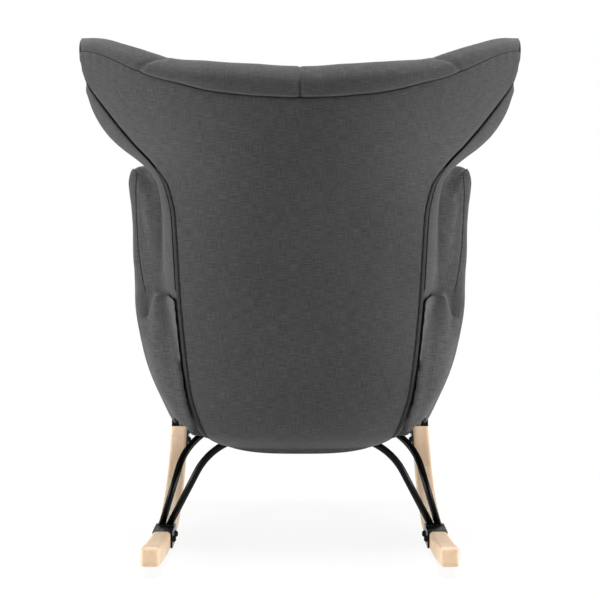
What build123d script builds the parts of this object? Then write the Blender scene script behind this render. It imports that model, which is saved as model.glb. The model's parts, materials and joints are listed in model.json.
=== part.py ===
from build123d import *
import os
from math import acos, asin, cos, degrees, hypot, pi, radians, sin, sqrt, tan

# Upholstered rocking chair with a winged back, in millimetres.
# +Z is up, the floor is Z = 0, the sitter faces -Y, and +X is the sitter's left.

# Fits between pieces
soft_gap = 0.3
panel_gap = 0.6
hole_gap = 0.2
weld_gap = 0.2

# Rockers: two tangent arcs that meet where the chair touches the floor
rocker_track = 538.0
rocker_width = 35.0
rocker_depth = 36.0
rocker_contact_y = 33.1
rocker_rear_y = 404.5
rocker_rear_radius = 3000.0
rocker_front_radius = 620.0
rocker_top_z = 180.0
rocker_rounding = 7.0

# Bolts, threaded inserts and tee nuts
bolt_diameter = 8.0
bolt_head_diameter = 14.0
bolt_head_height = 5.5
rocker_bolt_length = 24.0
insert_diameter = 12.0
insert_length = 24.0
tee_nut_diameter = 22.0
tee_nut_flange = 2.0
tee_nut_barrel = 11.0
tee_nut_length = 12.0

# Angle brackets on the rockers
bracket_steel = 4.0
bracket_y = 105.0
bracket_length = 90.0
bracket_drop = 32.0
bracket_housing = 2.0
bracket_bolt_spacing = 50.0
bracket_bolt_drop = 17.0

# Rod arches
rod_diameter = 12.5
arch_foot_y = 80.0
rear_arch_inset = 8.0
rear_arch_lean = 27.5
rear_arch_bend = 130.0
front_arch_inset = 22.5
front_arch_lean = 11.5
front_arch_bend = 150.0
front_arch_v = -94.0

# Flat bars under the seat, on a seat plane that rises towards the front
seat_tilt = 5.0
seat_under_z = 232.0
seat_bar_width = 30.0
seat_bar_steel = 4.0
seat_bar_x = 72.0
seat_bar_margin = 8.0

# Front cross bar and its stands
cross_bar_size = 20.0
cross_bar_wall = 1.5
plug_flange = 3.0
plug_depth = 12.0
stand_steel = 3.0
stand_wall = 2.0
stand_depth = 46.0
stand_flange_drop = 50.0
stand_flange_margin = 4.0
stand_bolt_first = 18.0
stand_bolt_spacing = 26.0

# Timber seat frame, its webbing and the cloth below it
dust_cloth = 1.0
frame_half_width = 230.0
frame_front_v = -356.0
frame_rear_v = 126.0
end_rail_width = 45.0
end_rail_height = 32.0
side_rail_width = 25.0
side_rail_height = 66.0
web_thickness = 2.0
web_width = 50.0
seat_web_count = 5
seat_web_front_margin = 30.0
seat_web_rear_margin = 50.0

# Seat border and cushion
border_side = 10.7
border_front = 22.0
border_rounding = 16.0
cushion_overhang = 2.0
cushion_side_height = 84.0
cushion_height = 98.0
cushion_crown = 22.0
cushion_shoulder = 35.7
cushion_draw_in = 8.0
cushion_nose = 13.0
cushion_rear_gap = 3.0
cushion_rear_hollow = 8.0

# Arms and the hips behind them
arm_bottom_lift = 3.0
arm_top_round = 30.0
arm_foot_swell = 27.0
arm_foot_rise = 60.0
arm_belly_swell = 63.5
arm_belly_rise = 165.0
arm_waist_swell = 80.0
arm_top_swell = 88.0
arm_board_inset = 4.0
arm_board_thickness = 12.0
arm_board_margin = 78.0
arm_board_bottom_w = 48.0
arm_board_front_y = -250.0
arm_board_rear_y = 95.0
arm_bolt_w = 57.5
arm_bolt_rear_v = 50.0
arm_bolt_front_v = -200.0
hip_bulge = 20.0
hip_relief = 12.0
hip_inset = 4.0
hip_overlap = 14.0
hip_step = 2.0
hip_gap = 1.3
wing_gap = 15.0

# Arm stations from rear to front: y, top z, share of the full swell, lift of the lower edge
arm_stations = [
    (164.0, 752.0, 1.0, 27.0),
    (60.0, 745.0, 1.0, 0.0),
    (-60.0, 714.0, 0.98, 0.0),
    (-180.0, 667.0, 0.93, 0.0),
    (-260.0, 619.0, 0.84, 0.0),
    (-302.0, 558.0, 0.66, 0.0),
]

# Back, measured on its middle plane
back_recline = 12.6
back_rear_y = 309.0
back_rear_z = 500.0
back_front_y = 130.0
back_front_z = 210.0
back_curve_power = 2.4
front_curve_power = 2.2
panel_thickness = 12.0
band_thickness = 10.0
binding_width = 9.0
binding_thickness = 1.6
fold_bottom_x = 172.0
fold_spread = 0.088
fold_depth = 9.0
back_crown = 15.0
crown_start_z = 430.0
crown_full_z = 530.0
crown_least = 0.08
wing_crown = 9.0
top_centre_z = 918.0
top_fold_x = 250.0
top_fold_z = 946.0
top_wing_x = 372.0
top_wing_z = 989.0
top_tip_x = 455.0
top_tip_z = 997.0
seam_drop = 60.0
seam_tip_drop = 32.0

# Back stations from the bottom up: z, half width, wrap of the panel towards the front,
# tuck under the seat, flare of the side band, depth of the side band
back_stations = [
    (205.0, 150.0, 34.0, 53.0, 6.0, 22.0),
    (226.0, 186.0, 42.0, 24.0, 8.0, 34.0),
    (250.0, 200.0, 48.0, 9.0, 10.0, 45.0),
    (285.0, 210.5, 52.5, 3.0, 12.0, 52.0),
    (340.0, 220.0, 57.0, 0.0, 14.0, 58.0),
    (430.0, 228.0, 61.0, 0.0, 17.0, 60.0),
    (500.0, 232.5, 64.0, 0.0, 20.0, 62.0),
    (640.0, 238.5, 80.0, 0.0, 21.0, 64.0),
    (720.0, 262.5, 125.0, 0.0, 16.0, 66.0),
    (780.0, 312.0, 170.0, 0.0, 35.0, 70.0),
    (850.0, 372.0, 222.0, 0.0, 31.0, 72.0),
    (930.0, 418.0, 272.0, 0.0, 9.0, 66.0),
    (1010.0, 427.0, 287.0, 0.0, 3.0, 60.0),
]
hip_first = 2
wing_first = 7
wing_last = 11
binding_first = 2
binding_last = 9

# Where the hips start on the side band, from its rear edge at 0 to its front edge at 1, from the bottom up
hip_slides = [0.0, 0.0, 0.0, 0.35, 0.85]

# Timber back frame: u runs up the recline, and setbacks run forward from the rear surface
post_x = 155.0
post_width = 40.0
post_thickness = 25.0
post_setback = 66.0
post_bottom_u = -268.0
post_top_u = 345.0
back_rail_width = 50.0
middle_rail_u = 60.0
back_web_count = 4
back_web_pitch = 100.0
back_web_first_u = -120.0
angle_steel = 4.0
angle_width = 30.0
angle_rise = 70.0
angle_reach = 30.0

# Worked out from the sizes above
seat_slope = radians(seat_tilt)
back_slope = radians(back_recline)
seat_plane = Plane((0, 0, seat_under_z), x_dir=(1, 0, 0), z_dir=(0, sin(seat_slope), cos(seat_slope)))
back_plane = Plane(
    (0, back_rear_y, back_rear_z), x_dir=(1, 0, 0), z_dir=(0, -cos(back_slope), sin(back_slope))
)
seat_normal = Axis((0, 0, 0), seat_plane.z_dir)
rod_radius = rod_diameter / 2
rocker_inner_x = (rocker_track - rocker_width) / 2
rocker_outer_x = (rocker_track + rocker_width) / 2
bracket_seat_z = rocker_depth - bracket_housing
bracket_top_z = bracket_seat_z + bracket_steel
rear_arch_foot_x = rocker_inner_x + rear_arch_inset
front_arch_foot_x = rocker_inner_x + front_arch_inset
bar_top_w = -seat_bar_steel - weld_gap
bar_bottom_w = bar_top_w - cross_bar_size
rail_bottom_w = dust_cloth
end_rail_top_w = rail_bottom_w + end_rail_height
side_rail_top_w = rail_bottom_w + side_rail_height
end_rail_half = frame_half_width - side_rail_width
seat_half_width = frame_half_width + border_side
border_front_v = frame_front_v - border_front
cushion_front_v = border_front_v - cushion_overhang
cushion_shoulder_x = seat_half_width - cushion_shoulder
arm_inner_x = seat_half_width + soft_gap
arm_board_x = arm_inner_x + arm_board_inset
seat_web_first_v = frame_front_v + seat_web_front_margin
seat_web_last_v = frame_rear_v - seat_web_rear_margin - web_width
seat_web_pitch = (seat_web_last_v - seat_web_first_v) / (seat_web_count - 1)
border_height = side_rail_top_w + web_thickness
cushion_bottom_w = border_height + soft_gap
front_rail_v = frame_front_v + end_rail_width / 2
rear_rail_v = frame_rear_v - end_rail_width / 2


def save(piece, name):
    piece.part.label = name
    export_step(piece.part, f"parts/{name}.step")


def mirrored(piece, name):
    with BuildPart() as other:
        mirror(piece.part, about=Plane.YZ)
    save(other, name)
    return other


def seat_point(v, w):
    y = v * cos(seat_slope) + w * sin(seat_slope)
    z = seat_under_z - v * sin(seat_slope) + w * cos(seat_slope)
    return y, z


def back_point(u, setback):
    y = back_rear_y + u * sin(back_slope) - setback * cos(back_slope)
    z = back_rear_z + u * cos(back_slope) + setback * sin(back_slope)
    return y, z


def seat_line_z(y, w):
    return seat_under_z - y * tan(seat_slope) + w / cos(seat_slope)


def rear_line_y(z):
    return back_rear_y + (z - back_rear_z) * tan(back_slope)


def front_line_y(z):
    return back_front_y + (z - back_front_z) * tan(back_slope)


def face_v(w):
    """Where the front face of the back stands, along the seat plane at height w above it."""
    reach = cos(seat_slope) + sin(seat_slope) * tan(back_slope)
    y, z = seat_point(0, w)
    return (front_line_y(z) - back_crown * crown_least - y) / reach


def rocker_front_y(radius, z):
    return rocker_contact_y - sqrt(radius**2 - (rocker_front_radius - z) ** 2)


def seat_slab(v_low, v_high, w_low, w_high, x_low, x_high, mode=Mode.ADD):
    """A board squared to the seat plane."""
    with BuildSketch(seat_plane.offset(w_low)) as plan:
        with Locations(((x_low + x_high) / 2, (v_low + v_high) / 2)):
            Rectangle(x_high - x_low, v_high - v_low)
    extrude(plan.sketch, amount=w_high - w_low, mode=mode)


def back_slab(u_low, u_high, setback_low, setback_high, x_low, x_high):
    """A board squared to the recline of the back."""
    with BuildSketch(back_plane.offset(setback_low)) as plan:
        with Locations(((x_low + x_high) / 2, (u_low + u_high) / 2)):
            Rectangle(x_high - x_low, u_high - u_low)
    extrude(plan.sketch, amount=setback_high - setback_low)


def make_bolt(length):
    """A dome-headed bolt whose head stands on Z = 0 and whose shank points down."""
    rim = bolt_head_diameter / 2
    dome_radius = (rim**2 + bolt_head_height**2) / (2 * bolt_head_height)
    dome_centre = bolt_head_height - dome_radius
    half_turn = (asin(-dome_centre / dome_radius) + pi / 2) / 2
    dome = (dome_radius * cos(half_turn), dome_centre + dome_radius * sin(half_turn))
    with BuildPart() as bolt:
        with BuildSketch(Plane.XZ):
            with BuildLine():
                Polyline(
                    (0, bolt_head_height),
                    (0, -length),
                    (bolt_diameter / 2, -length),
                    (bolt_diameter / 2, 0),
                    (rim, 0),
                )
                ThreePointArc((rim, 0), dome, (0, bolt_head_height))
            make_face()
        revolve(axis=Axis.Z)
    return bolt.part


def make_sleeve(outer, length):
    """A threaded insert whose mouth is at Z = 0."""
    with BuildPart() as sleeve:
        with BuildSketch():
            Circle(outer / 2)
            Circle(bolt_diameter / 2 + hole_gap, mode=Mode.SUBTRACT)
        extrude(amount=-length)
    return sleeve.part


def make_tee_nut():
    """A tee nut whose flange stands on Z = 0."""
    with BuildPart() as nut:
        Cylinder(tee_nut_diameter / 2, tee_nut_flange, align=(Align.CENTER, Align.CENTER, Align.MIN))
        Cylinder(tee_nut_barrel / 2, tee_nut_length, align=(Align.CENTER, Align.CENTER, Align.MAX))
        Cylinder(bolt_diameter / 2 + hole_gap, 3 * tee_nut_length, mode=Mode.SUBTRACT)
    return nut.part


def place_copies(shape, places):
    with BuildPart() as group:
        with Locations(*places):
            add(shape)
    return group


def drill(places, diameter, depth):
    """Holes that run from each place, along its own -Z."""
    with Locations(*places):
        Cylinder(diameter / 2, depth, align=(Align.CENTER, Align.CENTER, Align.MAX), mode=Mode.SUBTRACT)


os.makedirs("parts", exist_ok=True)

# Places of the bolts, each with +Z towards its head
bracket_bolt_z = bracket_top_z - bracket_bolt_drop
stand_bolt_radius = rocker_front_radius - rocker_depth / 2
stand_top_turn = acos((rocker_front_radius - rocker_top_z) / stand_bolt_radius)
rocker_bolt_points = []
for offset_y in (-bracket_bolt_spacing / 2, bracket_bolt_spacing / 2):
    rocker_bolt_points.append((bracket_y + offset_y, bracket_bolt_z, bracket_steel))
for run in (stand_bolt_first, stand_bolt_first + stand_bolt_spacing):
    turn = stand_top_turn - run / stand_bolt_radius
    bolt_y = rocker_contact_y - stand_bolt_radius * sin(turn)
    rocker_bolt_points.append((bolt_y, rocker_front_radius - stand_bolt_radius * cos(turn), stand_steel))
rocker_bolt_places = []
rocker_hole_places = []
for side in (1, -1):
    for y, z, steel in rocker_bolt_points:
        head_x = side * (rocker_inner_x - steel)
        rocker_bolt_places.append(Plane((head_x, y, z), z_dir=(-side, 0, 0)).location)
        rocker_hole_places.append(Plane((side * rocker_inner_x, y, z), z_dir=(-side, 0, 0)).location)

seat_bolt_points = []
for x in (-seat_bar_x, seat_bar_x):
    for v in (front_rail_v, rear_rail_v):
        seat_bolt_points.append((x, v))
seat_bolt_places = []
seat_nut_places = []
for x, v in seat_bolt_points:
    down = -seat_plane.z_dir
    seat_bolt_places.append(Plane((x, *seat_point(v, -seat_bar_steel)), z_dir=down).location)
    seat_nut_places.append(Plane((x, *seat_point(v, end_rail_top_w)), z_dir=-down).location)

arm_board_outer_x = arm_board_x + arm_board_thickness
arm_bolt_places = []
arm_nut_places = []
for side in (1, -1):
    for v in (arm_bolt_front_v, arm_bolt_rear_v):
        y, z = seat_point(v, arm_bolt_w)
        arm_bolt_places.append(Plane((side * end_rail_half, y, z), z_dir=(-side, 0, 0)).location)
        arm_nut_places.append(Plane((side * arm_board_outer_x, y, z), z_dir=(side, 0, 0)).location)
arm_bolt_length = arm_board_outer_x - end_rail_half
seat_bolt_length = seat_bar_steel + end_rail_top_w
bolt_hole = bolt_diameter + 2 * hole_gap
barrel_hole = tee_nut_barrel + 2 * hole_gap

# Rockers, with a flat housing for the bracket and holes for the inserts
with BuildPart() as rocker_left:
    with BuildSketch(Plane.YZ.offset(rocker_inner_x)):
        with BuildLine():
            rear_centre = (rocker_contact_y, rocker_rear_radius)
            front_centre = (rocker_contact_y, rocker_front_radius)
            rear_turn = degrees(asin((rocker_rear_y - rocker_contact_y) / rocker_rear_radius))
            top_fall = rocker_front_radius - rocker_top_z
            sole_turn = degrees(acos(top_fall / rocker_front_radius))
            deck_turn = degrees(acos(top_fall / (rocker_front_radius - rocker_depth)))
            rear_sole = CenterArc(rear_centre, rocker_rear_radius, -90, rear_turn)
            rear_deck = CenterArc(rear_centre, rocker_rear_radius - rocker_depth, -90, rear_turn)
            front_sole = CenterArc(front_centre, rocker_front_radius, -90, -sole_turn)
            front_deck = CenterArc(front_centre, rocker_front_radius - rocker_depth, -90, -deck_turn)
            Line(rear_sole @ 1, rear_deck @ 1)
            Line(front_sole @ 1, front_deck @ 1)
        make_face()
    extrude(amount=rocker_width)
    top_edges = rocker_left.edges().filter_by_position(Axis.Z, rocker_top_z - 0.1, rocker_top_z + 0.1)
    fillet(rocker_left.edges() - top_edges, rocker_rounding)
    with BuildSketch(Plane.XY.offset(bracket_seat_z)):
        with Locations((rocker_track / 2, bracket_y)):
            Rectangle(rocker_width, bracket_length)
    extrude(amount=rocker_depth, mode=Mode.SUBTRACT)
    drill(rocker_hole_places[:4], insert_diameter, insert_length + hole_gap)
save(rocker_left, "rocker_left")
mirrored(rocker_left, "rocker_right")

rocker_bolts = place_copies(make_bolt(rocker_bolt_length), rocker_bolt_places)
save(rocker_bolts, "rocker_bolts")
rocker_inserts = place_copies(make_sleeve(insert_diameter, insert_length), rocker_hole_places)
save(rocker_inserts, "rocker_inserts")

# Angle brackets that the arches stand on
with BuildPart() as bracket_left:
    with BuildSketch(Plane.XZ.offset(-bracket_y - bracket_length / 2)):
        with BuildLine():
            inner = rocker_inner_x - bracket_steel
            Polyline(
                (inner, bracket_top_z),
                (rocker_outer_x, bracket_top_z),
                (rocker_outer_x, bracket_seat_z),
                (rocker_inner_x, bracket_seat_z),
                (rocker_inner_x, bracket_top_z - bracket_drop),
                (inner, bracket_top_z - bracket_drop),
                close=True,
            )
        make_face()
    extrude(amount=bracket_length)
    drill(rocker_bolt_places[:2], bolt_hole, bracket_steel)
save(bracket_left, "rocker_bracket_left")
mirrored(bracket_left, "rocker_bracket_right")


def make_arch(foot_x, lean, bend, cross_y, cross_z):
    """A rod bent from one bracket up under the seat and down to the other, cut flat at its feet."""
    rise_dir = Vector(0, cross_y - arch_foot_y, cross_z - bracket_top_z)
    facing = rise_dir.cross(Vector(-1, 0, 0))
    arch_plane = Plane((0, arch_foot_y, bracket_top_z), x_dir=(1, 0, 0), z_dir=facing)
    rise = rise_dir.length
    slope = tan(radians(lean))
    below = rod_diameter
    with BuildPart() as arch:
        with BuildLine(arch_plane) as route:
            FilletPolyline(
                (foot_x + below * slope, -below),
                (foot_x - rise * slope, rise),
                (rise * slope - foot_x, rise),
                (-foot_x - below * slope, -below),
                radius=bend,
            )
        with BuildSketch(Plane(route.line @ 0, z_dir=route.line % 0)):
            Circle(rod_radius)
        sweep()
        split(bisect_by=Plane.XY.offset(bracket_top_z), keep=Keep.TOP)
    return arch


rod_drop_w = bar_top_w - rod_radius
rear_arch = make_arch(
    rear_arch_foot_x, rear_arch_lean, rear_arch_bend, arch_foot_y, seat_line_z(arch_foot_y, rod_drop_w)
)
save(rear_arch, "rear_rod_arch")
front_arch = make_arch(
    front_arch_foot_x, front_arch_lean, front_arch_bend, *seat_point(front_arch_v, rod_drop_w)
)
save(front_arch, "front_rod_arch")

# Where the stands and the cross bar stand over the rockers' upper ends
sole_y = rocker_front_y(rocker_front_radius, rocker_top_z)
deck_y = rocker_front_y(rocker_front_radius - rocker_depth, rocker_top_z)
stand_y = (sole_y + deck_y) / 2
stand_plate_z = rocker_top_z + stand_steel
cross_bar_w = bar_top_w - cross_bar_size / 2
cross_bar_v = (stand_y - cross_bar_w * sin(seat_slope)) / cos(seat_slope)
seat_bar_front_v = cross_bar_v - cross_bar_size / 2
seat_bar_rear_v = frame_rear_v - seat_bar_margin

# Flat bars between the arches, the cross bar and the seat frame
with BuildPart() as seat_bar_left:
    half_bar = seat_bar_width / 2
    bar_sides = (seat_bar_x - half_bar, seat_bar_x + half_bar)
    seat_slab(seat_bar_front_v, seat_bar_rear_v, -seat_bar_steel, 0, *bar_sides)
    fillet(seat_bar_left.edges().filter_by(seat_normal), half_bar / 2)
    drill(seat_bolt_places[2:], bolt_hole, seat_bar_steel)
save(seat_bar_left, "seat_bar_left")
mirrored(seat_bar_left, "seat_bar_right")

# Front cross bar with its plugs
cross_bar_centre = (0, *seat_point(cross_bar_v, cross_bar_w))
cross_bar_plane = Plane(cross_bar_centre, x_dir=seat_plane.y_dir, z_dir=(1, 0, 0))
bore_size = cross_bar_size - 2 * cross_bar_wall
with BuildPart() as cross_bar:
    with BuildSketch(cross_bar_plane.offset(-rocker_outer_x)):
        RectangleRounded(cross_bar_size, cross_bar_size, cross_bar_wall)
        Rectangle(bore_size, bore_size, mode=Mode.SUBTRACT)
    extrude(amount=2 * rocker_outer_x)
save(cross_bar, "front_cross_bar")

with BuildPart() as plugs:
    with BuildSketch(cross_bar_plane.offset(rocker_outer_x)):
        RectangleRounded(cross_bar_size, cross_bar_size, cross_bar_wall)
    extrude(amount=plug_flange)
    with BuildSketch(cross_bar_plane.offset(rocker_outer_x)):
        Rectangle(bore_size - 2 * hole_gap, bore_size - 2 * hole_gap)
    extrude(amount=-plug_depth)
    mirror(about=Plane.YZ)
save(plugs, "bar_end_plugs")

# Front stands on the rockers' upper ends
def stand_outline(inset):
    """The stand from the side, up to the underside of the cross bar."""
    y_low = stand_y - stand_depth / 2 + inset
    y_high = stand_y + stand_depth / 2 - inset
    with BuildSketch(Plane.YZ.offset(rocker_inner_x + inset)) as outline:
        with BuildLine():
            Polyline(
                (y_low, stand_plate_z),
                (y_high, stand_plate_z),
                (y_high, seat_line_z(y_high, bar_bottom_w - weld_gap)),
                (y_low, seat_line_z(y_low, bar_bottom_w - weld_gap)),
                close=True,
            )
        make_face()
    return outline.sketch


with BuildPart() as stand_left:
    extrude(stand_outline(0), amount=rocker_width)
    extrude(stand_outline(stand_wall), amount=rocker_width - 2 * stand_wall, mode=Mode.SUBTRACT)
    with BuildSketch(Plane.XY.offset(rocker_top_z)):
        with Locations(((rocker_inner_x - stand_steel + rocker_outer_x) / 2, stand_y)):
            Rectangle(rocker_width + stand_steel, deck_y - sole_y)
    extrude(amount=stand_steel)
    with BuildSketch(Plane.YZ.offset(rocker_inner_x - stand_steel)):
        with BuildLine():
            flange_low = rocker_top_z - stand_flange_drop
            near_radius = rocker_front_radius - rocker_depth + stand_flange_margin
            far_radius = rocker_front_radius - stand_flange_margin
            Polyline(
                (rocker_front_y(near_radius, flange_low), flange_low),
                (rocker_front_y(near_radius, rocker_top_z), rocker_top_z),
                (rocker_front_y(far_radius, rocker_top_z), rocker_top_z),
                (rocker_front_y(far_radius, flange_low), flange_low),
                close=True,
            )
        make_face()
    extrude(amount=stand_steel)
    drill(rocker_bolt_places[2:4], bolt_hole, stand_steel)
save(stand_left, "front_stand_left")
mirrored(stand_left, "front_stand_right")

# Timber seat frame
end_rail_reach = (rail_bottom_w, end_rail_top_w, -end_rail_half, end_rail_half)
with BuildPart() as front_rail:
    seat_slab(frame_front_v, frame_front_v + end_rail_width, *end_rail_reach)
    drill(seat_nut_places[0::2], barrel_hole, end_rail_height)
save(front_rail, "seat_front_rail")

with BuildPart() as rear_rail:
    seat_slab(frame_rear_v - end_rail_width, frame_rear_v, *end_rail_reach)
    drill(seat_nut_places[1::2], barrel_hole, end_rail_height)
save(rear_rail, "seat_rear_rail")

with BuildPart() as side_rail_left:
    seat_slab(frame_front_v, frame_rear_v, rail_bottom_w, side_rail_top_w, end_rail_half, frame_half_width)
    drill(arm_bolt_places[:2], bolt_hole, side_rail_width)
save(side_rail_left, "seat_side_rail_left")
mirrored(side_rail_left, "seat_side_rail_right")

with BuildPart() as seat_webbing:
    for index in range(seat_web_count):
        v = seat_web_first_v + index * seat_web_pitch
        seat_slab(v, v + web_width, side_rail_top_w, border_height, -frame_half_width, frame_half_width)
save(seat_webbing, "seat_webbing")

with BuildPart() as dust_cover:
    seat_slab(frame_front_v, frame_rear_v, 0, dust_cloth, -frame_half_width, frame_half_width)
    drill(seat_nut_places, bolt_hole, 2 * end_rail_top_w)
save(dust_cover, "dust_cover")

seat_bolts = place_copies(make_bolt(seat_bolt_length), seat_bolt_places)
save(seat_bolts, "seat_bolts")
arm_bolts = place_copies(make_bolt(arm_bolt_length), arm_bolt_places)
save(arm_bolts, "arm_bolts")
tee_nuts = place_copies(make_tee_nut(), seat_nut_places + arm_nut_places)
save(tee_nuts, "tee_nuts")

# Timber back frame
post_front = post_setback + post_thickness
post_inner_x = post_x - post_width / 2
with BuildPart() as post_left:
    back_slab(post_bottom_u, post_top_u, post_setback, post_front, post_inner_x, post_inner_x + post_width)
save(post_left, "back_post_left")
post_right = mirrored(post_left, "back_post_right")

back_rails = []
for name, u in (
    ("back_lower_rail", post_bottom_u),
    ("back_middle_rail", middle_rail_u),
    ("back_top_rail", post_top_u - back_rail_width),
):
    with BuildPart() as rail:
        back_slab(u, u + back_rail_width, post_setback, post_front, -post_inner_x, post_inner_x)
    save(rail, name)
    back_rails.append(rail)

with BuildPart() as back_webbing:
    web_reach = post_inner_x + post_width
    for index in range(back_web_count):
        u = back_web_first_u + index * back_web_pitch
        back_slab(u, u + web_width, post_front, post_front + web_thickness, -web_reach, web_reach)
save(back_webbing, "back_webbing")

# Steel angles from the seat's rear rail up the front of the posts
with BuildPart() as angle_left:
    with BuildSketch(Plane.YZ.offset(post_x - angle_width / 2)):
        with BuildLine():
            foot_v = frame_rear_v - angle_reach
            lean = tan(back_slope)

            def corner(setback, w):
                """Where a line up the back meets a line along the seat."""
                y0, z0 = back_point(0, setback)
                y = (y0 + lean * (seat_line_z(0, w) - z0)) / (1 + lean * tan(seat_slope))
                return y, seat_line_z(y, w)

            foot_w = end_rail_top_w
            outer = corner(post_front, foot_w)
            inner = corner(post_front + angle_steel, foot_w + angle_steel)
            up = (angle_rise * sin(back_slope), angle_rise * cos(back_slope))
            Polyline(
                seat_point(foot_v, foot_w),
                outer,
                (outer[0] + up[0], outer[1] + up[1]),
                (inner[0] + up[0], inner[1] + up[1]),
                inner,
                seat_point(foot_v, foot_w + angle_steel),
                close=True,
            )
        make_face()
    extrude(amount=angle_width)
save(angle_left, "back_angle_left")
angle_right = mirrored(angle_left, "back_angle_right")

# Seat border round the frame, and the crowned cushion on it
with BuildPart() as seat_border:
    with BuildSketch(Plane.YZ):
        with BuildLine():
            Polyline(
                seat_point(border_front_v, 0),
                seat_point(border_front_v, border_height),
                seat_point(face_v(border_height) - soft_gap, border_height),
                seat_point(face_v(0) - soft_gap, 0),
                close=True,
            )
        make_face()
    extrude(amount=seat_half_width, both=True)
    front_edges = seat_border.edges().filter_by(seat_normal).group_by(Axis.Y)[0]
    fillet(front_edges, border_rounding)
    seat_slab(
        frame_front_v, frame_rear_v, 0, border_height, -frame_half_width, frame_half_width, mode=Mode.SUBTRACT
    )
    drill(arm_bolt_places, bolt_hole, arm_bolt_length)
    for piece in (angle_left, angle_right):
        add(piece.part, mode=Mode.SUBTRACT)
save(seat_border, "seat_border")


def cushion_section(x, height, crown, draw_in):
    front_v = cushion_front_v + draw_in
    base = cushion_bottom_w
    top = base + height
    rear_gap = cushion_rear_gap + cushion_rear_hollow * (x / seat_half_width) ** 2
    rear_low = face_v(base) - rear_gap
    rear_top = face_v(top) - rear_gap
    with BuildSketch(Plane.YZ.offset(x)) as outline:
        with BuildLine():
            Line(seat_point(front_v, base), seat_point(rear_low, base))
            Line(seat_point(rear_low, base), seat_point(rear_top, top))
            middle = seat_point((front_v + rear_top) / 2, top + crown)
            ThreePointArc(seat_point(rear_top, top), middle, seat_point(front_v, top))
            nose = seat_point(front_v - cushion_nose, base + height / 2)
            ThreePointArc(seat_point(front_v, top), nose, seat_point(front_v, base))
        make_face()
    return outline.sketch


with BuildPart() as cushion:
    cushion_edge_x = seat_half_width - soft_gap
    edge_shape = (cushion_side_height, cushion_crown / 4, cushion_draw_in)
    shoulder_shape = (cushion_height, cushion_crown / 2, 0)
    sections = [
        cushion_section(-cushion_edge_x, *edge_shape),
        cushion_section(-cushion_shoulder_x, *shoulder_shape),
        cushion_section(0, cushion_height, cushion_crown, 0),
        cushion_section(cushion_shoulder_x, *shoulder_shape),
        cushion_section(cushion_edge_x, *edge_shape),
    ]
    loft(sections)
save(cushion, "seat_cushion")


# Sections of the back at one height
def rear_curve(station):
    z, half, wrap, tuck, flare, depth = station

    def at(x):
        return rear_line_y(z) - tuck - wrap * (abs(x) / half) ** back_curve_power

    return at


def band_corners(station):
    """Outer ends of the side band: behind the panel's edge, and at the front of the wing."""
    z, half, wrap, tuck, flare, depth = station
    edge_y = rear_curve(station)(half)
    length = hypot(flare, depth)
    start = (panel_thickness + panel_gap) / length
    rear = (half + flare * start, edge_y - depth * start)
    front = (half + flare, edge_y - depth)
    inward = (-depth / length, -flare / length)
    return rear, front, inward


def spread(limit, count=9):
    return [limit * (2 * index / (count - 1) - 1) for index in range(count)]


def panel_section(station, outset, thickness, reach=0):
    """The rear panel at one height, widened by a reach and moved out or in from its outer face."""
    at = rear_curve(station)
    step = 0.5
    outer = []
    inner = []
    for x in spread(station[1] + reach):
        slope = (at(x + step) - at(x - step)) / (2 * step)
        length = hypot(slope, 1)
        normal = (-slope / length, 1 / length)
        outer.append((x + normal[0] * outset, at(x) + normal[1] * outset))
        inner.append((x - normal[0] * thickness, at(x) - normal[1] * thickness))
    with BuildSketch(Plane.XY.offset(station[0])) as outline:
        with BuildLine():
            Spline(*outer)
            Line(outer[-1], inner[-1])
            Spline(*reversed(inner))
            Line(inner[0], outer[0])
        make_face()
    return outline.sketch


def wing_face(station):
    """The wing's tip, the fold beside it and the middle of the back's front, before their crowns."""
    z = station[0]
    rear, front, inward = band_corners(station)
    inset = band_thickness / 2
    tip = (front[0] + inward[0] * inset, front[1] + inward[1] * inset)
    middle_y = front_line_y(z)
    fold_x = min(fold_bottom_x + (z - back_front_z) * fold_spread, tip[0] - fold_depth)
    fold_y = middle_y - (middle_y - tip[1]) * (fold_x / tip[0]) ** front_curve_power
    return tip, (fold_x, fold_y), middle_y


def pad_section(station):
    """The whole back between its side bands, with lobes between the sewn lines of its front."""
    z = station[0]
    at = rear_curve(station)
    rear_x = station[1] + band_corners(station)[2][0] * band_thickness / 2
    tip, (fold_x, fold_y), middle_y = wing_face(station)
    rise = min(max((z - crown_start_z) / (crown_full_z - crown_start_z), crown_least), 1)
    seam = (0, middle_y + fold_depth * rise)
    fold = (fold_x, fold_y + fold_depth * rise)
    lobe = (fold_x / 2, (middle_y + fold_y) / 2 - back_crown * rise)
    chord = (tip[0] - fold[0], tip[1] - fold[1])
    span = hypot(*chord)
    bulge = min(wing_crown, span / 4) * rise
    wing = (
        (tip[0] + fold[0]) / 2 + chord[1] / span * bulge,
        (tip[1] + fold[1]) / 2 - chord[0] / span * bulge,
    )
    with BuildSketch(Plane.XY.offset(z)) as outline:
        with BuildLine():
            Spline(*[(x, at(x)) for x in spread(rear_x)])
            Line((rear_x, at(rear_x)), tip)
            ThreePointArc(tip, wing, fold)
            ThreePointArc(fold, lobe, seam)
            ThreePointArc(seam, (-lobe[0], lobe[1]), (-fold[0], fold[1]))
            ThreePointArc((-fold[0], fold[1]), (-wing[0], wing[1]), (-tip[0], tip[1]))
            Line((-tip[0], tip[1]), (-rear_x, at(rear_x)))
        make_face()
    return outline.sketch


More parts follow.
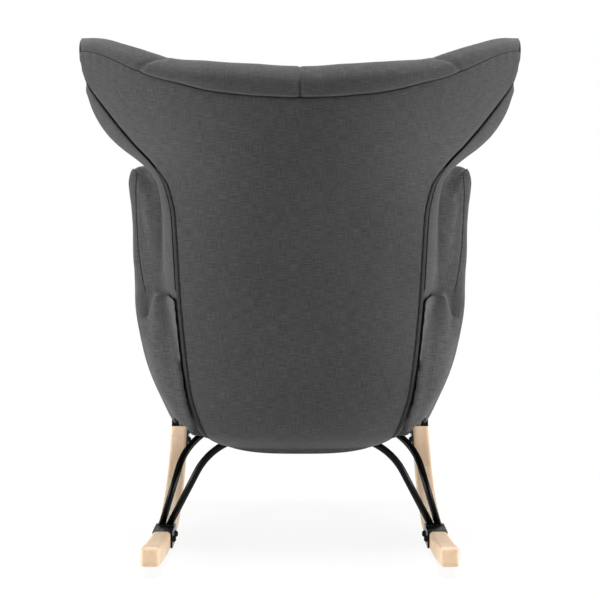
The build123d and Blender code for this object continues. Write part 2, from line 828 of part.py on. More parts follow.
def below_line(drop, tip_drop):
    """Everything under the top line of the back, lowered by a drop that changes towards the wing tips."""
    points = []
    for x, z in (
        (0, top_centre_z),
        (top_fold_x, top_fold_z),
        (top_wing_x, top_wing_z),
        (top_tip_x, top_tip_z),
    ):
        points.append((x, z - drop - (tip_drop - drop) * (x / top_tip_x) ** 2))
    left = [(-x, z) for x, z in reversed(points[1:])]
    with BuildSketch(Plane.XZ.offset(-rocker_rear_y)) as region:
        with BuildLine():
            Spline(*left, *points)
            Polyline(points[-1], (top_tip_x, 0), (-top_tip_x, 0), left[0])
        make_face()
    extrude(region.sketch, amount=2 * rocker_rear_y, mode=Mode.INTERSECT)


with BuildPart() as panel:
    loft([panel_section(station, 0, panel_thickness) for station in back_stations])
    below_line(seam_drop, seam_tip_drop)
save(panel, "outside_back")

with BuildPart() as panel_room:
    room = panel_thickness + panel_gap
    loft([panel_section(station, panel_thickness, room, panel_gap) for station in back_stations])
    below_line(seam_drop - panel_gap, seam_tip_drop - panel_gap)


def band_section(station, lead, outset, inset):
    """The side band at one height, lengthened by a lead and moved out or in from its outer face."""
    rear, front, inward = band_corners(station)
    ahead = (-inward[1], inward[0])
    corners = []
    for corner, along, across in (
        (rear, -lead, -outset),
        (front, lead, -outset),
        (front, lead, inset),
        (rear, -lead, inset),
    ):
        x = corner[0] + ahead[0] * along + inward[0] * across
        y = corner[1] + ahead[1] * along + inward[1] * across
        corners.append((x, y))
    with BuildSketch(Plane.XY.offset(station[0])) as outline:
        with BuildLine():
            Polyline(*corners, close=True)
        make_face()
    return outline.sketch


with BuildPart() as band_left:
    loft([band_section(station, 0, 0, band_thickness) for station in back_stations])
    below_line(0, 0)
save(band_left, "back_band_left")
mirrored(band_left, "back_band_right")

with BuildPart() as band_room:
    room = band_thickness + panel_gap
    loft([band_section(station, band_thickness, band_thickness, room) for station in back_stations])
    mirror(about=Plane.YZ)

with BuildPart() as inside_back:
    loft([pad_section(station) for station in back_stations])
    below_line(0, 0)
    add(panel_room.part, mode=Mode.SUBTRACT)
    add(band_room.part, mode=Mode.SUBTRACT)
    for piece in (post_left, post_right, *back_rails, back_webbing, angle_left, angle_right):
        add(piece.part, mode=Mode.SUBTRACT)
save(inside_back, "inside_back")

with BuildPart() as binding_left:
    lifted = soft_gap + binding_thickness
    loft([panel_section(station, lifted, -soft_gap) for station in back_stations])
    bound = [(station[1], station[0]) for station in back_stations[binding_first:binding_last]]
    with BuildSketch(Plane.XZ.offset(-rocker_rear_y)):
        with BuildLine():
            Spline(*bound)
            Line(bound[-1], (bound[-1][0] - binding_width, bound[-1][1]))
            Spline(*[(x - binding_width, z) for x, z in reversed(bound)])
            Line((bound[0][0] - binding_width, bound[0][1]), bound[0])
        make_face()
    extrude(amount=rocker_rear_y, mode=Mode.INTERSECT)
save(binding_left, "back_binding_left")
mirrored(binding_left, "back_binding_right")


# Arms: upright sections from the rear to the front, joined to the hips behind them
def arm_outline(y, top, share, lift):
    low = seat_line_z(y, arm_bottom_lift + lift)
    shoulder = top - arm_top_round
    belly_to_top = low + arm_belly_rise + (shoulder - low - arm_belly_rise) / 2
    return [
        (arm_inner_x, low),
        (arm_inner_x + arm_foot_swell * share, low + arm_foot_rise),
        (arm_inner_x + arm_belly_swell * share, low + arm_belly_rise),
        (arm_inner_x + arm_waist_swell * share, belly_to_top),
        (arm_inner_x + arm_top_swell * share, shoulder),
    ]


def arm_rear_x(z):
    """How far out the arm reaches at its rear face."""
    outline = arm_outline(*arm_stations[0])
    for (x0, z0), (x1, z1) in zip(outline, outline[1:]):
        if z <= z1:
            return x0 + (x1 - x0) * max(z - z0, 0) / (z1 - z0)
    return outline[-1][0]


with BuildPart() as arm_board_left:
    with BuildSketch(Plane.YZ.offset(arm_board_x)):
        with BuildLine():
            board_top = []
            for y, top, share, lift in arm_stations[1:4]:
                board_top.append((y, top - arm_board_margin))
            rear_top = (arm_board_rear_y, board_top[0][1])
            front_top = (arm_board_front_y, arm_stations[4][1] - arm_board_margin)
            Polyline(
                (arm_board_rear_y, seat_line_z(arm_board_rear_y, arm_board_bottom_w)),
                rear_top,
                *board_top,
                front_top,
                (arm_board_front_y, seat_line_z(arm_board_front_y, arm_board_bottom_w)),
                close=True,
            )
        make_face()
    extrude(amount=arm_board_thickness)
    drill(arm_nut_places[:2], barrel_hole, arm_board_thickness)
save(arm_board_left, "arm_board_left")
mirrored(arm_board_left, "arm_board_right")


def wing_room(station):
    """A plain section that holds the side band and the wing beside the arm."""
    rear, front, inward = band_corners(station)
    fold_x, fold_y = wing_face(station)[1]
    with BuildSketch(Plane.XY.offset(station[0])) as outline:
        with BuildLine():
            Polyline(
                (rear[0] - inward[0] * wing_gap, rear[1]),
                (front[0] - inward[0] * wing_gap, front[1] - wing_gap),
                (fold_x, fold_y - wing_crown - wing_gap),
                (fold_x, rear_curve(station)(fold_x)),
                close=True,
            )
        make_face()
    return outline.sketch


with BuildPart() as wing_space:
    loft([wing_room(station) for station in back_stations[wing_first:wing_last]], ruled=True)

with BuildPart() as arm_left:
    for y, top, share, lift in arm_stations:
        outline = arm_outline(y, top, share, lift)
        shoulder = outline[-1]
        with BuildSketch(Plane.XZ.offset(-y)):
            with BuildLine():
                Spline(*outline)
                crest = ((arm_inner_x + shoulder[0]) / 2, top)
                ThreePointArc(shoulder, crest, (arm_inner_x, shoulder[1]))
                Line((arm_inner_x, shoulder[1]), outline[0])
            make_face()
    loft()
    arm_rear_y = arm_stations[0][0]
    joined_y = arm_rear_y - hip_overlap
    for station, slide in zip(back_stations[hip_first:], hip_slides):
        z = station[0]
        edge = (station[1] + hip_gap, rear_curve(station)(station[1]))
        band_front = band_corners(station)[1]
        start = (
            edge[0] + (band_front[0] + hip_gap - edge[0]) * slide,
            edge[1] + (band_front[1] - edge[1]) * slide,
        )
        beside_cushion = z > seat_line_z(arm_rear_y, border_height)
        inner_x = max(band_front[0], arm_inner_x if beside_cushion else 0) + hip_inset
        outer = (arm_rear_x(z) - hip_step, arm_rear_y)
        chord = (start[0] - outer[0], start[1] - outer[1])
        span = hypot(*chord)
        swell = hip_bulge * (1 - slide / 2)
        bulge = (
            (outer[0] + start[0]) / 2 + chord[1] / span * swell,
            (outer[1] + start[1]) / 2 - chord[0] / span * swell,
        )
        with BuildSketch(Plane.XY.offset(z)):
            with BuildLine():
                ThreePointArc(outer, bulge, start)
                Polyline(
                    start,
                    (inner_x, min(max(band_front[1], joined_y) + hip_relief, start[1] - hip_inset)),
                    (inner_x, joined_y),
                    (outer[0] - hip_inset, joined_y),
                    outer,
                )
            make_face()
    loft()
    for piece in (wing_space, arm_board_left, arm_bolts, tee_nuts):
        add(piece.part, mode=Mode.SUBTRACT)
save(arm_left, "arm_left")
mirrored(arm_left, "arm_right")
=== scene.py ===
import bpy
import bmesh
import json
import math
import numpy as np
from contextlib import contextmanager
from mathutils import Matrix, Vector
from mathutils.bvhtree import BVHTree


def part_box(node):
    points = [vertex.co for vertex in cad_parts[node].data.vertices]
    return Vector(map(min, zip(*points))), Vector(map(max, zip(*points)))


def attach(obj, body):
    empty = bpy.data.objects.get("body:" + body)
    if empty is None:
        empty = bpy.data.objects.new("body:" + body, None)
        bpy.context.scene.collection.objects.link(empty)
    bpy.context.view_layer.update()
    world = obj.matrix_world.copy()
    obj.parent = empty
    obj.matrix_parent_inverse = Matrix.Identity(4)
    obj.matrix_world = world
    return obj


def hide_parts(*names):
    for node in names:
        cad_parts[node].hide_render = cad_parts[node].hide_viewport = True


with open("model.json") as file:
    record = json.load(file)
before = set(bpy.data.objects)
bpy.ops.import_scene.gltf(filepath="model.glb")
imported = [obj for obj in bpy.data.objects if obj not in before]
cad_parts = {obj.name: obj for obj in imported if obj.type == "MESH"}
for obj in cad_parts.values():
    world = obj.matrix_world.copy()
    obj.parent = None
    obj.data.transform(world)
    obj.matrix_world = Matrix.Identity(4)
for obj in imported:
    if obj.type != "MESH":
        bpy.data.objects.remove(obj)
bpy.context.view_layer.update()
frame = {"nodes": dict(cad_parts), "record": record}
scene = bpy.context.scene
print("frame loaded,", len(frame["nodes"]), "nodes")


# camera behind the chair, a little above the arms
cameraSetup = {"place": (0, 3.375, 0.66), "lens": 100.6, "sensor": 36.0, "pitchDown": 3.04}


def linkObject(name, data):
    thing = bpy.data.objects.new(name, data)
    scene.collection.objects.link(thing)
    return thing


def placeCamera():
    data = bpy.data.cameras.new("camera")
    data.lens = cameraSetup["lens"]
    data.sensor_width = cameraSetup["sensor"]
    data.clip_end = 60
    camera = linkObject("camera", data)
    camera.location = cameraSetup["place"]
    camera.rotation_euler = (math.radians(90 - cameraSetup["pitchDown"]), 0, math.radians(180))
    scene.camera = camera


# a wrapped socket, so that node maths reads as plain expressions
class Value:
    def __init__(self, tree, socket=None):
        self.tree = tree
        self.socket = socket

    def make(self, kind, sockets=None, out=0, **settings):
        node = self.tree.nodes.new(kind)
        for key, setting in settings.items():
            setattr(node, key, setting)
        for key, given in (sockets or {}).items():
            if isinstance(given, Value):
                self.tree.links.new(given.socket, node.inputs[key])
            else:
                node.inputs[key].default_value = given
        return Value(self.tree, node.outputs[out] if len(node.outputs) else None)

    def math(self, operation, first, second=0.0):
        return self.make("ShaderNodeMath", {0: first, 1: second}, operation=operation)

    def __add__(self, other):
        return self.math("ADD", self, other)

    __radd__ = __add__

    def __sub__(self, other):
        return self.math("SUBTRACT", self, other)

    def __rsub__(self, other):
        return self.math("SUBTRACT", other, self)

    def __mul__(self, other):
        return self.math("MULTIPLY", self, other)

    __rmul__ = __mul__

    def __truediv__(self, other):
        return self.math("DIVIDE", self, other)

    def place(self):
        return self.make("ShaderNodeTexCoord", out=3)

    def join(self, x, y, z=0.0):
        return self.make("ShaderNodeCombineXYZ", {0: x, 1: y, 2: z})

    def split(self, vector):
        return [self.make("ShaderNodeSeparateXYZ", {0: vector}, axis) for axis in range(3)]

    def noise(self, vector, scale, detail=2.0, roughness=0.5):
        return self.make("ShaderNodeTexNoise",
                         {"Vector": vector, "Scale": scale, "Detail": detail, "Roughness": roughness})

    def ramp(self, value, low, high, start=0.0):
        return self.make("ShaderNodeMapRange", {0: value, 1: low, 2: high, 3: start, 4: 1.0})

    def mix(self, factor, first, second):
        return self.make("ShaderNodeMix", {0: factor, 6: first, 7: second}, 2, data_type="RGBA")

    def bump(self, height, strength, distance):
        return self.make("ShaderNodeBump", {"Height": height, "Strength": strength, "Distance": distance})

    def principled(self, colour, roughness, normal, more=None):
        return self.make("ShaderNodeBsdfPrincipled", {
            "Base Color": colour, "Roughness": roughness, "Normal": normal, **(more or {})})


def finish(draw):  # a function that draws nodes becomes one that makes a material
    def made(name, *values):
        material = bpy.data.materials.new(name)
        material.use_nodes = True
        material.node_tree.nodes.clear()
        shader = draw(Value(material.node_tree), *values)
        shader.make("ShaderNodeOutputMaterial", {"Surface": shader})
        return material

    return made


linen = {
    "dark": (0.0195, 0.0195, 0.0200, 1),
    "light": (0.0525, 0.0525, 0.0535, 1),
    "armShade": 1.45,  # painted light: the arms' cloth is made 1.45 times as light as the back's, standing in for the stronger side light on the arms and hips
    "threadsPerMetre": 1500.0,
    "slubsPerMetre": 46.0,
    "weavesPerMetre": 620,
    "shares": (1.7, 2.4, 0.9, 0.4),  # of warp, weft, flecks and wear in the tone
    "level": 0.45,
    "sheen": 0.12,
}


@finish
def makeLinen(root, shade=1.0):
    cloth = root.make("ShaderNodeUVMap", uv_map="weave")
    u, v, flat = root.split(cloth)
    fine, slow = linen["threadsPerMetre"], linen["slubsPerMetre"]
    warp = root.noise(root.join(u * fine, v * slow), 1.0)  # yarns that run up the cloth
    weft = root.noise(root.join(u * slow, v * fine, 7.0), 1.0)  # yarns that run across
    melange = root.noise(root.join(u * fine, v * fine, 3.0), 0.8, 1.0)
    worn = root.noise(root.join(u, v, 11.0), 7.0, 3.0)
    tone = linen["level"]
    for part, share in zip((warp, weft, melange, worn), linen["shares"]):
        tone = (part - 0.5) * share + tone
    tone = root.make("ShaderNodeClamp", {0: tone})
    dark, light = [[part * shade for part in linen[key][:3]] + [1] for key in ("dark", "light")]
    turn = 2 * math.pi * linen["weavesPerMetre"]
    weave = root.math("SINE", u * turn) * root.math("SINE", v * turn)
    normal = root.bump(weave * 0.35 + warp + weft, 0.35, 0.0006)
    return root.principled(root.mix(tone, dark, light), 0.97 - tone * 0.12, normal, {
        "Sheen Weight": linen["sheen"], "Sheen Roughness": 0.5, "Specular IOR Level": 0.25})


rubberwood = {
    "pale": (0.66, 0.49, 0.335, 1),
    "deep": (0.50, 0.335, 0.21, 1),
    "blockLength": 0.145,
    "fingerLength": 0.011,
    "fingerPitch": 0.0088,
    "contactY": 0.0331,
    "frontRadius": 0.62,
}


@finish
def makeRubberwood(root):
    x, y, z = root.split(root.place())
    radius = rubberwood["frontRadius"]
    ahead = rubberwood["contactY"] - y
    bent = root.math("ARCTAN2", ahead, radius - z) * radius  # length along the bent front
    isFront = root.math("GREATER_THAN", ahead, 0.0)
    along = bent * isFront + ahead * (1 - isFront)
    height = root.math("SQRT", ahead * ahead + (radius - z) * (radius - z)) * isFront
    depth = (radius - height) * isFront + z * (1 - isFront)
    side = root.math("ABSOLUTE", x)
    finger = root.math("PINGPONG", depth, rubberwood["fingerPitch"] / 2) * (
        rubberwood["fingerLength"] / rubberwood["fingerPitch"] * 2)
    block = (along + finger + root.math("SIGN", x) * 0.021) / rubberwood["blockLength"]
    number = root.math("FLOOR", block)
    tone = root.make("ShaderNodeTexWhiteNoise", {"Vector": root.join(number, root.math("SIGN", x))},
                     noise_dimensions="2D")
    shifted = root.join(side * 46 + tone * 9, along * 3.2 + tone * 31, depth * 46)
    grain = root.noise(shifted, 1.0, 5.0, 0.62)
    fleck = root.noise(root.join(side * 900, along * 38, depth * 900), 1.0, 2.0)
    pores = root.ramp(fleck, 0.60, 0.72)
    joint = root.math("ABSOLUTE", root.math("FRACT", block) - 0.5) * 2
    glue = root.ramp(joint, 0.988, 0.997)
    factor = root.make("ShaderNodeClamp", {0: (grain - 0.5) * 1.5 + (tone - 0.5) * 0.55 + 0.42})
    colour = root.mix(factor, rubberwood["pale"], rubberwood["deep"])
    colour = root.mix(pores * 0.34 + glue * 0.4, colour, (0.30, 0.18, 0.10, 1))
    normal = root.bump(grain * 0.4 - pores - glue, 0.25, 0.0004)
    return root.principled(colour, 0.46 + grain * 0.16, normal, {"Coat Weight": 0.15, "Coat Roughness": 0.3})


blackCoat = {"tone": 0.002, "mottle": 0.002, "roughness": 0.24, "gloss": 0.11}


@finish
def makeBlackSteel(root):
    place = root.place()
    peel = root.noise(place, 620.0, 2.0)
    broad = root.noise(place, 30.0, 3.0)
    level = broad * blackCoat["mottle"] + blackCoat["tone"]
    colour = root.join(level, level, level * 1.04)
    return root.principled(colour, peel * 0.14 + broad * 0.1 + (blackCoat["roughness"] - 0.1),
                           root.bump(peel, 0.12, 0.0003), {"Specular IOR Level": blackCoat["gloss"]})


zincCoat = {"dark": (0.50, 0.50, 0.52, 1), "light": (0.66, 0.66, 0.68, 1), "grain": (180.0, 3.0),
            "roughness": (0.22, 0.25), "bump": (0.1, 0.0003), "more": {"Metallic": 1.0}}
plugPlastic = {"dark": (0.010, 0.010, 0.011, 1), "light": (0.022, 0.022, 0.024, 1), "grain": (1400.0, 2.0),
               "roughness": (0.5, 0.15), "bump": (0.2, 0.0002), "more": None}


@finish
def makeGrained(root, coat):
    grain = root.noise(root.place(), *coat["grain"])
    colour = root.mix(grain, coat["dark"], coat["light"])
    least, spread = coat["roughness"]
    return root.principled(colour, grain * spread + least, root.bump(grain, *coat["bump"]), coat["more"])


@finish
def makeSawnTimber(root):
    x, y, z = root.split(root.place())
    rings = root.noise(root.join(x * 40, y * 12, z * 40), 1.0, 5.0, 0.6)
    saw = root.noise(root.join(x * 240, y * 240, z * 240), 1.0, 1.0)
    colour = root.mix(rings, (0.60, 0.45, 0.27, 1), (0.43, 0.29, 0.15, 1))
    return root.principled(colour, 0.7 + saw * 0.2, root.bump(saw + rings, 0.3, 0.0008))


@finish
def makeStrapCloth(root):
    x, y, z = root.split(root.place())
    ribs = root.math("SINE", (x + y + z) * 2400)
    lines = root.math("SINE", (y - z) * 900)
    colour = root.mix(ribs * 0.25 + lines * 0.2 + 0.5, (0.018, 0.017, 0.016, 1), (0.055, 0.05, 0.045, 1))
    return root.principled(colour, 0.82 + ribs * 0.08, root.bump(ribs, 0.3, 0.0004))


@finish
def makeDustCloth(root):
    place = root.place()
    fibres = root.noise(place, 900.0, 3.0)
    dots = root.make("ShaderNodeTexVoronoi", {"Vector": place, "Scale": 420.0})  # bonded points of the felt
    colour = root.mix(fibres, (0.008, 0.008, 0.009, 1), (0.030, 0.030, 0.032, 1))
    return root.principled(colour, 0.86 + fibres * 0.1, root.bump(fibres + dots, 0.35, 0.0005))


linenGrey = makeLinen("linenGrey")
# the binding's linen darkened to 0.55: painted shade for the shading along the back panel's rounded edge
linenBinding = makeLinen("linenBinding", 0.55)
# a lighter copy of the linen for the arms, with painted light on their cover
linenArm = makeLinen("linenArm", linen["armShade"])
seamThread = makeLinen("seamThread", 0.8)
blackSteel = makeBlackSteel("blackSatinSteel")
zincSteel = makeGrained("zincSteel", zincCoat)
sawnTimber = makeSawnTimber("sawnTimber")
dustCloth = makeDustCloth("blackDustCloth")
slotFinish = {
    "rubberwood": makeRubberwood("bentRubberwood"),
    "frame_timber": sawnTimber,
    "black_steel": blackSteel,
    "zinc_steel": zincSteel,
    "black_plastic": makeGrained("blackPlastic", plugPlastic),
    "webbing": makeStrapCloth("elasticWebbing"),
    "dust_cloth": dustCloth,
    "cover_fabric": linenGrey,
    "binding": linenBinding,
}
print("materials made")


def finishNodes():
    for row in frame["record"]["subparts"]:
        node = frame["nodes"][row["node"]]
        node.data.materials.clear()
        node.data.materials.append(slotFinish[row["material_slot"]])


# mesh helpers
def smoothThrough(points):
    xs, ys = (np.array(column, float) for column in zip(*points))
    gaps = np.diff(xs)
    slopes = np.diff(ys) / gaps
    turns = np.empty(len(xs))
    turns[1:-1] = (gaps[1:] * slopes[:-1] + gaps[:-1] * slopes[1:]) / (gaps[1:] + gaps[:-1])
    turns[0], turns[-1] = slopes[0], slopes[-1]

    def at(q):
        q = np.clip(q, xs[0], xs[-1])
        k = np.clip(np.searchsorted(xs, q) - 1, 0, len(xs) - 2)
        t = (q - xs[k]) / gaps[k]
        rise = ys[k] * (1 + 2 * t) * (1 - t) ** 2 + ys[k + 1] * t ** 2 * (3 - 2 * t)
        return rise + gaps[k] * (turns[k] * t * (1 - t) ** 2 + turns[k + 1] * t ** 2 * (t - 1))

    return at


def evenLine(points):  # a line that is the same on both sides of the middle
    both = [(-x, z) for x, z in reversed(points[1:])] + list(points)
    return smoothThrough(both)


def ease(low, high, q):
    t = np.clip((q - low) / (high - low), 0, 1)
    return t * t * (3 - 2 * t)


def crowd(count, share=0.5):  # 0 to 1, closer together at both ends
    even = np.linspace(0, 1, count)
    return even * (1 - share) + (0.5 - 0.5 * np.cos(np.pi * even)) * share


def ripple(x, y, z, wave, seed):
    random = np.random.default_rng(seed)
    total = 0
    for part in range(5):
        way = random.normal(size=3)
        way /= np.linalg.norm(way)
        length = wave * random.uniform(0.6, 1.6)
        total = total + np.sin((x * way[0] + y * way[1] + z * way[2]) * 2 * np.pi / length + random.uniform(0, 6.3))
    return total / 5


def gridNormals(grid, towards):
    across = np.gradient(grid, axis=1)
    up = np.gradient(grid, axis=0)
    normal = np.cross(across, up)
    normal /= np.maximum(np.linalg.norm(normal, axis=2, keepdims=True), 1e-9)
    if (normal @ np.array(towards)).mean() < 0:
        normal = -normal
    return normal


def readAll(items, key, width=1, kind=float):
    values = np.empty(len(items) * width, kind)
    items.foreach_get(key, values)
    return values.reshape(-1, width) if width > 1 else values


def pointsOf(mesh):
    return readAll(mesh.vertices, "co", 3)


def normalsOf(mesh):
    return readAll(mesh.vertex_normals, "vector", 3)


def movePoints(mesh, points):
    mesh.vertices.foreach_set("co", points.ravel())
    mesh.update()


def pushOut(mesh, far):  # along the normals
    movePoints(mesh, pointsOf(mesh) + normalsOf(mesh) * np.reshape(far, (-1, 1)))


def coatMesh(mesh, material=None):
    if material is not None:
        mesh.materials.clear()
        mesh.materials.append(material)
    mesh.polygons.foreach_set("use_smooth", [True] * len(mesh.polygons))


def newObject(name, mesh, material=None):
    piece = linkObject(name, mesh)
    coatMesh(mesh, material)
    return piece


def layWeave(piece):  # cloth coordinates in metres, laid on from the side that each face looks to
    mesh = piece.data
    uv = mesh.uv_layers.get("weave") or mesh.uv_layers.new(name="weave")
    looks = np.abs(readAll(mesh.polygons, "normal", 3)).argmax(1)
    facing = np.repeat(looks, readAll(mesh.polygons, "loop_total", kind=int))
    first = np.where(facing == 0, 1, 0)
    second = np.where(facing == 2, 1, 2)
    spot = pointsOf(mesh)[readAll(mesh.loops, "vertex_index", kind=int)]
    row = np.arange(len(spot))
    uv.data.foreach_set("uv", np.stack([spot[row, first], spot[row, second]], 1).ravel())


@contextmanager
def opened(mesh):
    shape = bmesh.new()
    shape.from_mesh(mesh)
    yield shape
    shape.to_mesh(mesh)
    shape.free()


def closedShell(name, outer, inner, material):
    rows, columns = outer.shape[:2]
    points = np.concatenate([outer.reshape(-1, 3), inner.reshape(-1, 3)])
    index = np.arange(rows * columns).reshape(rows, columns)
    quads = np.stack([index[:-1, :-1], index[:-1, 1:], index[1:, 1:], index[1:, :-1]], -1).reshape(-1, 4)
    under = quads[:, ::-1] + rows * columns
    rim = np.concatenate([index[0, :-1], index[:-1, -1], index[-1, :0:-1], index[:0:-1, 0]])
    ahead = np.roll(rim, -1)
    wall = np.stack([ahead, rim, rim + rows * columns, ahead + rows * columns], -1)
    mesh = bpy.data.meshes.new(name)
    mesh.from_pydata(points.tolist(), [], np.concatenate([quads, under, wall]).tolist())
    with opened(mesh) as shape:
        bmesh.ops.remove_doubles(shape, verts=shape.verts, dist=2e-5)
        bmesh.ops.recalc_face_normals(shape, faces=shape.faces)
    return newObject(name, mesh, material)


def solidOf(node):  # a copy of a solid's mesh, joined along its edges
    mesh = frame["nodes"][node].data.copy()
    with opened(mesh) as shape:
        bmesh.ops.remove_doubles(shape, verts=shape.verts, dist=1e-6)
    return mesh


def mirrorPiece(piece, name):
    mesh = piece.data.copy()
    with opened(mesh) as shape:
        bmesh.ops.scale(shape, vec=(-1, 1, 1), verts=shape.verts)
        bmesh.ops.reverse_faces(shape, faces=shape.faces)
    return newObject(name, mesh, piece.data.materials[0])


def settle(piece, nodes=()):
    if nodes:
        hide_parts(*nodes)
    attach(piece, "root")


def settlePair(left, name, node):  # a cloth piece and its mirror image
    layWeave(left)
    right = mirrorPiece(left, name)
    settle(left, [node + "_left"])
    settle(right, [node + "_right"])
    return right


def relax(mesh, rounds, share=0.5):
    a, b = readAll(mesh.edges, "vertices", 2, int).T
    count = np.bincount(np.concatenate([a, b]), minlength=len(mesh.vertices))[:, None]
    points = pointsOf(mesh)
    for step in range(rounds):
        total = np.zeros_like(points)
        np.add.at(total, a, points[b])
        np.add.at(total, b, points[a])
        points += (total / np.maximum(count, 1) - points) * share
    movePoints(mesh, points)


def evaluated(piece):
    bpy.context.view_layer.update()
    return bpy.data.meshes.new_from_object(piece.evaluated_get(bpy.context.evaluated_depsgraph_get()))


def bake(piece, material=None):  # the modifiers' result becomes the piece's own mesh
    made = evaluated(piece)
    piece.modifiers.clear()
    piece.data = made
    coatMesh(made, material)
    return made


def softCopy(name, node, values, material, spare=None):  # a smoothed copy of a solid, but for what is spared
    piece = newObject(name, solidOf(node), material)
    remesh = piece.modifiers.new("remesh", "REMESH")
    remesh.mode = "VOXEL"
    remesh.voxel_size = values["voxel"]
    made = bake(piece, material)
    relax(made, 2)
    share = 0.5 if spare is None else 0.5 * (1 - spare(*pointsOf(made).T))[:, None]
    relax(made, values["rounds"] - 2, share)
    return piece


def fillWithAir(piece, values, frames=20):
    rest = pointsOf(piece.data)
    cloth = piece.modifiers.new("cloth", "CLOTH")
    cloth.settings.quality = 5
    cloth.settings.use_pressure = True
    cloth.settings.uniform_pressure_force = values["pressure"]
    cloth.settings.effector_weights.gravity = 0
    cloth.collision_settings.use_collision = False
    cloth.point_cache.frame_start = 1
    cloth.point_cache.frame_end = frames
    for step in range(1, frames + 1):
        scene.frame_set(step)
    swollen = pointsOf(evaluated(piece))
    piece.modifiers.clear()
    scene.frame_set(1)
    moved = swollen - rest
    far = np.linalg.norm(moved, axis=1, keepdims=True)
    movePoints(piece.data, rest + moved * np.minimum(1, values["cap"] / np.maximum(far, 1e-9)))


def divideOnce(piece):
    divide = piece.modifiers.new("divide", "SUBSURF")
    divide.levels = divide.render_levels = 1
    bake(piece)


def surfaceOf(piece):
    mesh = piece.data
    return BVHTree.FromPolygons(pointsOf(mesh).tolist(), [tuple(face.vertices) for face in mesh.polygons])


def layOn(surface, starts, ways, lift=0.0):  # where a line lands on a piece
    landed = []
    for start, way in zip(*np.broadcast_arrays(starts, ways)):
        spot, normal, face, far = surface.ray_cast(Vector(start), Vector(way))
        if spot is not None:
            landed.append(tuple(spot - Vector(way).normalized() * lift))
    return landed


def sewAlong(piece, line, depth, width):  # a groove along a seam
    points = pointsOf(piece.data)
    best = np.full(len(points), 9.0)
    for spot in np.array(line):
        best = np.minimum(best, np.linalg.norm(points - spot, axis=1))
    pushOut(piece.data, -depth * np.exp(-(best / width) ** 2))


def startTree(name, sizes):
    tree = bpy.data.node_groups.new(name, "GeometryNodeTree")
    tree.interface.new_socket("Geometry", in_out="INPUT", socket_type="NodeSocketGeometry")
    for label, amount in sizes.items():
        tree.interface.new_socket(label, in_out="INPUT", socket_type="NodeSocketFloat").default_value = amount
    tree.interface.new_socket("Geometry", in_out="OUTPUT", socket_type="NodeSocketGeometry")
    given = tree.nodes.new("NodeGroupInput")
    return Value(tree), {socket.name: Value(tree, socket) for socket in given.outputs if socket.name}


def closeTree(root, geometry, material):
    whole = root.make("GeometryNodeRealizeInstances", {"Geometry": geometry})
    coated = root.make("GeometryNodeSetMaterial", {"Geometry": whole, "Material": material})
    root.make("NodeGroupOutput", {0: coated})
    return root.tree


def lineOf(root, given):
    return root.make("GeometryNodeMeshToCurve", {"Mesh": given["Geometry"]})


def rowOf(root, given):  # places along a line
    return root.make("GeometryNodeResampleCurve", {"Curve": lineOf(root, given), "Length": given["Pitch"]},
                     mode="LENGTH")


def sweep(root, line, sides, radius):
    ring = root.make("GeometryNodeCurvePrimitiveCircle", {"Resolution": sides, "Radius": radius})
    return root.make("GeometryNodeCurveToMesh", {"Curve": line, "Profile Curve": ring, "Fill Caps": True})


def repeatOn(root, places, one, more):
    return root.make("GeometryNodeInstanceOnPoints", {"Points": places, "Instance": one, **more})


def turnTo(root, axis, way):
    return {"Rotation": root.make("FunctionNodeAlignRotationToVector", {"Vector": way}, axis=axis)}


def coneAt(root, sides, wide, narrow, tall, height):
    cone = root.make("GeometryNodeMeshCone", {
        "Vertices": sides, "Radius Bottom": wide, "Radius Top": narrow, "Depth": tall})
    return root.make("GeometryNodeTransform", {"Geometry": cone, "Translation": root.join(0.0, 0.0, height)})


def makeCordTree(material):  # piping along a line
    root, given = startTree("piping", {"Radius": 0.002})
    return closeTree(root, sweep(root, lineOf(root, given), 8, given["Radius"]), material)


def makeRowTree(name, material):  # stitches or staples along a line
    root, given = startTree(name, {"Pitch": 0.005, "Length": 0.0034, "Thickness": 0.0006})
    half = given["Length"] * 0.5
    thread = root.make("GeometryNodeCurvePrimitiveLine", {
        "Start": root.join(half * -1, 0.0), "End": root.join(half, 0.0)})
    one = sweep(root, thread, 6, given["Thickness"])
    turn = turnTo(root, "X", root.make("GeometryNodeInputTangent"))
    return closeTree(root, repeatOn(root, rowOf(root, given), one, turn), material)


def makeBeadTree(material):  # the ripples of a weld
    root, given = startTree("weld", {"Pitch": 0.0022, "Size": 0.0022})
    drop = root.make("GeometryNodeMeshIcoSphere", {"Radius": given["Size"], "Subdivisions": 2})
    vary = root.make("FunctionNodeRandomValue", {2: 0.8, 3: 1.15, "Seed": 5}, 1, data_type="FLOAT")
    return closeTree(root, repeatOn(root, rowOf(root, given), drop, {"Scale": vary}), material)


def makeBoltTree(material):  # domed heads with a hexagon socket, on points that know which way they face
    root, given = startTree("bolts", {
        "Head": 0.007, "Height": 0.0055, "Shank": 0.024, "Thread": 0.004, "Socket": 0.0026})
    wide, tall, thread, shankLength, socket = [given[key] for key in ("Head", "Height", "Thread", "Shank", "Socket")]
    low = tall * 0.45
    rim = coneAt(root, 28, wide, wide * 0.9, low, 0.0)
    dome = coneAt(root, 28, wide * 0.9, wide * 0.58, tall - low, low)
    shank = coneAt(root, 20, thread * 0.85, thread, shankLength, shankLength * -1)
    key = coneAt(root, 6, socket, socket, tall, low)
    head = root.make("GeometryNodeMeshBoolean", {"Mesh 1": dome, "Mesh 2": key}, operation="DIFFERENCE")
    join = root.tree.nodes.new("GeometryNodeJoinGeometry")
    for part in (rim, head, shank):
        root.tree.links.new(part.socket, join.inputs[0])
    facing = root.make("GeometryNodeInputNamedAttribute", {"Name": "facing"}, data_type="FLOAT_VECTOR")
    one = Value(root.tree, join.outputs[0])
    return closeTree(root, repeatOn(root, given["Geometry"], one, turnTo(root, "Z", facing)), material)


